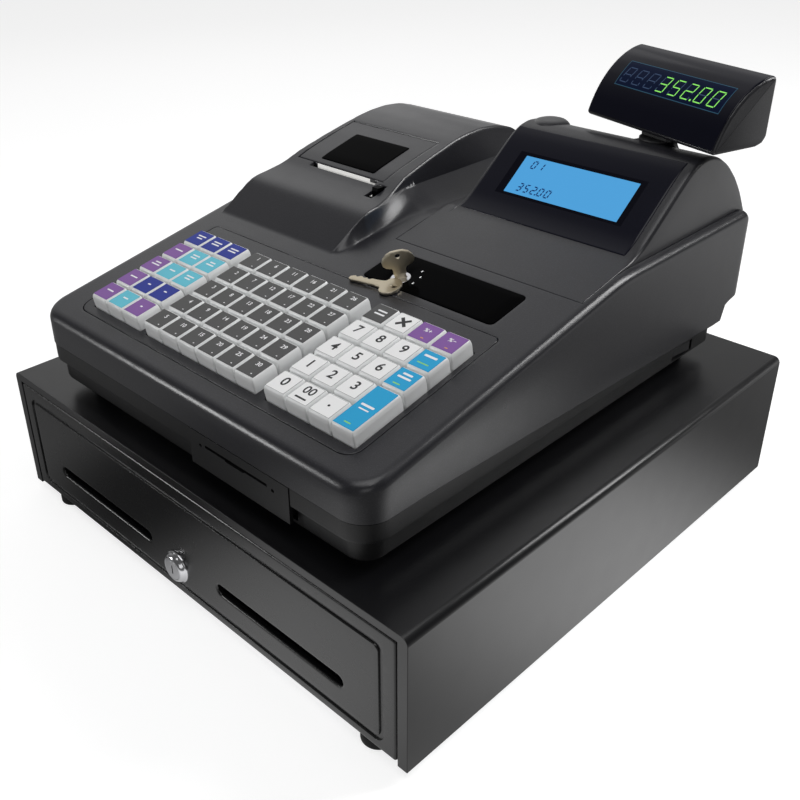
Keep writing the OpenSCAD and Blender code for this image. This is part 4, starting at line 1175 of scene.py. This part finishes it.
section = smooth_closed(HEAD_SECTION, 1.1, 1.1)
widths = [(-HEAD_HALF + x, d) for x, d in HEAD_ENDS]
widths += [(HEAD_HALF - x, d) for x, d in HEAD_ENDS[::-1]]
rings = [np.c_[np.full(len(section), x), inset(section, d)] for x, d in widths]
points, faces = loft(rings)
piece = add_piece("customer_head_shell", at_stem(points), faces, "customer_head", [CASE], 40,
                  fix=True)
register_as(piece, "customer_head")

head_line = Profile(smooth_line(LENS_SIDE, 1.2), -11.2, 34.6)
points, faces = head_line.lens(-HEAD_HALF + 1.3, HEAD_HALF - 1.3, 1.0, LENS_PROUD, rows=30)
piece = add_piece("customer_head_lens", at_stem(points), faces, "customer_head", [LENS], 45)
register_as(piece, "customer_lens")

DIGIT_LINE = 0.5  # width of the frame round the digits
DIGIT_PITCH = 12.0
SHOWN = "   35200"
POINT_AFTER = 5  # place of the digit followed by the decimal point
low, high = head_line.s_at(0.2) - 0.9, head_line.s_at(12.6) + 1.5
left, right = -47.1, 52.1
base = low + 2.5  # foot of the digits
build = Build()
for x0, x1, s0, s1 in (
        (left - DIGIT_LINE, right + DIGIT_LINE, low - DIGIT_LINE, low),
        (left - DIGIT_LINE, right + DIGIT_LINE, high, high + DIGIT_LINE),
        (left - DIGIT_LINE, left, low, high),
        (right, right + DIGIT_LINE, low, high)):
    build.add(*head_line.strip(x0, x1, s0, s1, lift=0.52), DIGIT_FRAME)
build.add(*head_line.strip(left, right, low, high, lift=0.50), DIGIT_BACK)
for place, char in enumerate(SHOWN):
    x = -45.2 + DIGIT_PITCH * place
    add_digit(build, head_line, "8", x, base, DIGIT_OFF, 0.54, w=7.6, h=12.6, t=0.7, slant=0.16)
    if char != " ":
        add_digit(build, head_line, char, x, base, DIGIT, 0.60, w=7.6, h=12.6, t=0.8, slant=0.16)
    if place == POINT_AFTER:
        build.add(*head_line.patch(rect(x + 9.0, x + 10.4, base, base + 1.4), 0.60), DIGIT)
piece = build.make("customer_head_digits", "customer_head", 30, at_stem)
register_as(piece, "customer_digits")

# ------------------------------------------------------------------ drawer front
# Drawn as (x, z) in the plane of the front, with the third value standing forward.
DRAWER_LOCK = (-7, 24.5)
FRONT_OUTLINE = densify(round_rect(-196.5, 196.5, 2, 93.4, 2.2, steps=6), 8)


def slot_outline(x0, x1):
    z, r = 32, 4
    return densify(round_rect(x0, x1, z - r, z + r, r * 0.999, steps=10), 6)


slots = [slot_outline(37, 154), slot_outline(-154, -37)]
groove_line = densify(round_rect(-185, 185, 10, 82.3, 5.5, steps=10), 6)
groove_loops = [inset(groove_line, d) for d in (-2.0, -1.8, -1.4, 1.4, 1.8, 2.0)]
plan, tris, to_edge, _ = sheet(
    FRONT_OUTLINE, slots + [circle(*DRAWER_LOCK, 10.6, 40)], stops((-190, 196, 9)),
    stops((8, 92, 8)), rings=(0.15, 0.5, 1.0, 1.6, 3.4), hole_rings=(0.2, 0.6, 1.2, 1.9),
    extra=groove_loops)
groove = np.interp(distance(plan, groove_line), [0, 1.41, 1.79, 1.99], [1.15, 1.15, 0.16, 0.0])
to_slot = np.minimum(distance(plan, slots[0]), distance(plan, slots[1]))
forward = -groove - fillet(to_edge, 1.6) - fillet(to_slot, 1.7)


def front_rule(p):
    x, z, forward = p
    if distance(np.array([[x, z]]), FRONT_OUTLINE)[0] < 0.05:
        return [(x, z, -6.0), (x, z, -12.0)]
    return [(x, z, forward - 2.4)]


points, faces = skirts(np.c_[plan, forward], tris, front_rule)
piece = add_piece("drawer_front_panel", upright(points), faces, "drawer", [FRONT], 40)
add_wall(piece, 1.1)
even_normals(piece)
register_as(piece, "drawer_front")

# the drawer lock's plated ring: a closed (radius, forward) section turned about the lock
LOCK_RING = [(12.0, 0.0), (12.0, 0.9), (11.75, 1.35), (11.2, 1.7), (10.9, 2.2), (10.5, 3.1),
             (9.9, 4.0), (9.2, 4.65), (8.6, 4.95), (8.0, 5.0), (7.75, 4.9), (7.66, 4.6),
             (7.66, -1.0), (10.5, -1.0), (10.5, 0.0)]
LOCK_STEPS = 56
points, faces = loft(turned_rings(LOCK_RING, *DRAWER_LOCK, LOCK_STEPS), caps=False)
last = (len(LOCK_RING) - 1) * LOCK_STEPS
for i in range(LOCK_STEPS):
    j = (i + 1) % LOCK_STEPS
    faces.append([last + i, last + j, j, i])
piece = add_piece("drawer_lock_ring", upright(points), [face[::-1] for face in faces], "drawer",
                  [CHROME], 40, fix=True)
register_as(piece, "lock_bezel")

# ------------------------------------------------------------------ carried-over CAD nodes
BEVEL_WIDTH = {
    "lock_barrel": 0.35, "card_slot_cover": 0.45, "cabinet_shell": 1.1, "cover_lever": 0.5,
    "power_rocker": 0.5, "rubber_feet": 0.8, "customer_stem": 0.6, "till_tray": 0.5,
    "coin_tray": 0.5, "bill_clips": 0.6, "mode_lock": 0.3, "power_supply": 0.6,
    "latch_hook": 0.3, "front_rollers": 0.5, "rear_rollers": 0.5, "platen_roller": 0.3,
    "drawer_box": 0.25, "cabinet_base_pan": 0.25, "latch_solenoid": 0.4, "print_mechanism": 0.3}
# the card slot cover takes the darker case plastic, with painted shade
BY_NODE = {"card_slot_cover": CASE_SHADED, "customer_stem": TRAY, "cover_lever": GLOSS,
           "power_rocker": TRAY}
slot_of = {part["node"]: part["material_slot"] for part in frame["record"]["subparts"]}
for name, piece in frame["nodes"].items():
    piece.data.materials.clear()
    piece.data.materials.append(BY_NODE.get(name, BY_SLOT[slot_of[name]]))
    for face in piece.data.polygons:
        face.material_index = 0
    weld = piece.modifiers.new("weld", "WELD")
    weld.merge_threshold = 0.00001
    if name in BEVEL_WIDTH:
        planar = piece.modifiers.new("planar", "DECIMATE")
        planar.decimate_type = "DISSOLVE"
        planar.angle_limit = math.radians(1.0)
        bevel = piece.modifiers.new("bevel", "BEVEL")
        bevel.width = BEVEL_WIDTH[name] / 1000.0
        bevel.segments = 2
        bevel.limit_method = "ANGLE"
        bevel.angle_limit = math.radians(32)
        bevel.harden_normals = False

# ------------------------------------------------------------------ floor
SCENE.view_settings.view_transform = "Standard"
SCENE.view_settings.look = "None"
# what glossy surfaces see of the floor: pools of brightness round a point (x, y),
# with (near, far) radii in metres and the brightness at each
FLOOR_POOLS = [
    ((290, 225), (0.02, 0.27), (1.60, 0.24)),
    ((110, -90), (0.02, 0.24), (0.75, 0.0)),
    ((-130, -75), (0.03, 0.15), (-0.19, 0.0)),
]


def floor_material():
    mat = bpy.data.materials.new("floor_m")
    mat.use_nodes = True
    tree = mat.node_tree
    tree.nodes.clear()
    output = add_node(tree, "OutputMaterial")
    diffuse = add_node(tree, "BsdfDiffuse", {"Color": (0.50, 0.50, 0.50, 1)})
    lift = add_node(tree, "Emission", {"Strength": 0.74})
    plain = add_node(tree, "AddShader", {0: diffuse.outputs[0], 1: lift.outputs[0]})
    position = add_node(tree, "NewGeometry").outputs["Position"]
    glows = []
    for (x, y), radii, strengths in FLOOR_POOLS:
        centre = to_row([(x, y, -Z_FOOT)])[0].tolist()
        away = add_node(tree, "VectorMath", {0: position, 1: centre}, operation="DISTANCE")
        glows.append(remap(tree, away.outputs["Value"], strengths, radii, "SMOOTHERSTEP"))
    # the floor also brightens towards the back
    axes = add_node(tree, "SeparateXYZ", {0: position})
    glows.append(remap(tree, axes.outputs["Y"], (0.0, 0.45), (0.26, 0.80), "SMOOTHSTEP"))
    total = glows[0]
    for glow in glows[1:]:
        total = add_node(tree, "Math", {0: total, 1: glow}, operation="ADD").outputs[0]
    mirrored = add_node(tree, "Emission", {"Strength": total})
    glossy = add_node(tree, "LightPath").outputs["Is Glossy Ray"]
    mix = add_node(tree, "MixShader", {0: glossy, 1: plain.outputs[0], 2: mirrored.outputs[0]})
    tree.links.new(mix.outputs[0], output.inputs["Surface"])
    return mat


bpy.ops.mesh.primitive_plane_add(size=14, location=(0, 0, -0.0002))
floor = bpy.context.object
floor.name = "floor"
floor.data.materials.append(floor_material())
floor.visible_diffuse = False

# ------------------------------------------------------------------ world and lights
# white to the camera; to all else grey, with a soft glow from the back left, above
world = bpy.data.worlds.new("studio")
SCENE.world = world
world.use_nodes = True
tree = world.node_tree
background = tree.nodes["Background"]
coordinates = add_node(tree, "TexCoord").outputs["Generated"]
ray = add_node(tree, "VectorMath", {0: coordinates}, operation="NORMALIZE").outputs[0]
toward = add_node(tree, "VectorMath", {0: ray, 1: (-0.70, 0.52, 0.49)}, operation="DOT_PRODUCT")
glow = remap(tree, toward.outputs["Value"], (0.10, 0.56), (0.56, 0.99), "SMOOTHSTEP")
camera_ray = add_node(tree, "LightPath").outputs["Is Camera Ray"]
strength = add_node(tree, "Mix", {"Factor": camera_ray, "A": glow, "B": 1.0})
tree.links.new(strength.outputs["Result"], background.inputs["Strength"])
background.inputs["Color"].default_value = (1, 1, 1, 1)


def soft_box(name, direction, away, size, radiance, size_y=None):
    """An area light in a direction from the object, in metres, with a given radiance."""
    light = bpy.data.lights.new(name, "AREA")
    size_y = size_y or size
    light.shape = "RECTANGLE"
    light.size, light.size_y = size, size_y
    light.energy = radiance * math.pi * size * size_y
    box = bpy.data.objects.new(name, light)
    ray = Vector(direction).normalized()
    box.location = Vector((0, 0, 0.12)) + ray * away
    box.rotation_euler = (-ray).to_track_quat("-Z", "Y").to_euler()
    SCENE.collection.objects.link(box)


soft_box("top_box", (0.10, -0.25, 1.0), away=1.6, size=1.1, radiance=1.9)
soft_box("back_left_box", (-0.75, 0.45, 0.50), away=1.8, size=1.1, radiance=0.30)
soft_box("back_right_strip", (0.48, 0.58, 0.64), away=1.8, size=0.36, radiance=13.0, size_y=1.1)
soft_box("corner_glint", (0.42, -0.34, 0.84), away=1.8, size=0.16, radiance=8.0)
soft_box("front_left_strip", (-0.63, -0.75, 0.16), away=1.8, size=0.30, radiance=16.0, size_y=0.5)
soft_box("camera_side_fill", (0.62, -0.70, 0.34), away=2.2, size=0.9, radiance=0.9)

# ------------------------------------------------------------------ camera
CAMERA_PLACE = (462.19, -278.48, 469.43)
AZIMUTH, ELEVATION, ROLL = (math.radians(a) for a in (46.06, 29.30, -1.34))

lens = bpy.data.cameras.new("camera")
camera = bpy.data.objects.new("camera", lens)
SCENE.collection.objects.link(camera)
SCENE.camera = camera
back = np.array([math.sin(AZIMUTH) * math.cos(ELEVATION),
                 -math.cos(AZIMUTH) * math.cos(ELEVATION), math.sin(ELEVATION)])
level = np.cross([0, 0, 1.0], back)
level /= np.linalg.norm(level)
rise = np.cross(back, level)
right = level * math.cos(ROLL) + rise * math.sin(ROLL)
up = -level * math.sin(ROLL) + rise * math.cos(ROLL)
columns = np.c_[right, up, back, to_row([CAMERA_PLACE])[0]]
camera.matrix_world = Matrix(columns.tolist() + [[0, 0, 0, 1]])
lens.sensor_width = 36.0
lens.lens = 45.2016
lens.shift_x = 0.05235
lens.shift_y = -0.0340625
lens.clip_start = 0.01
lens.clip_end = 60.0

bpy.context.view_layer.update()
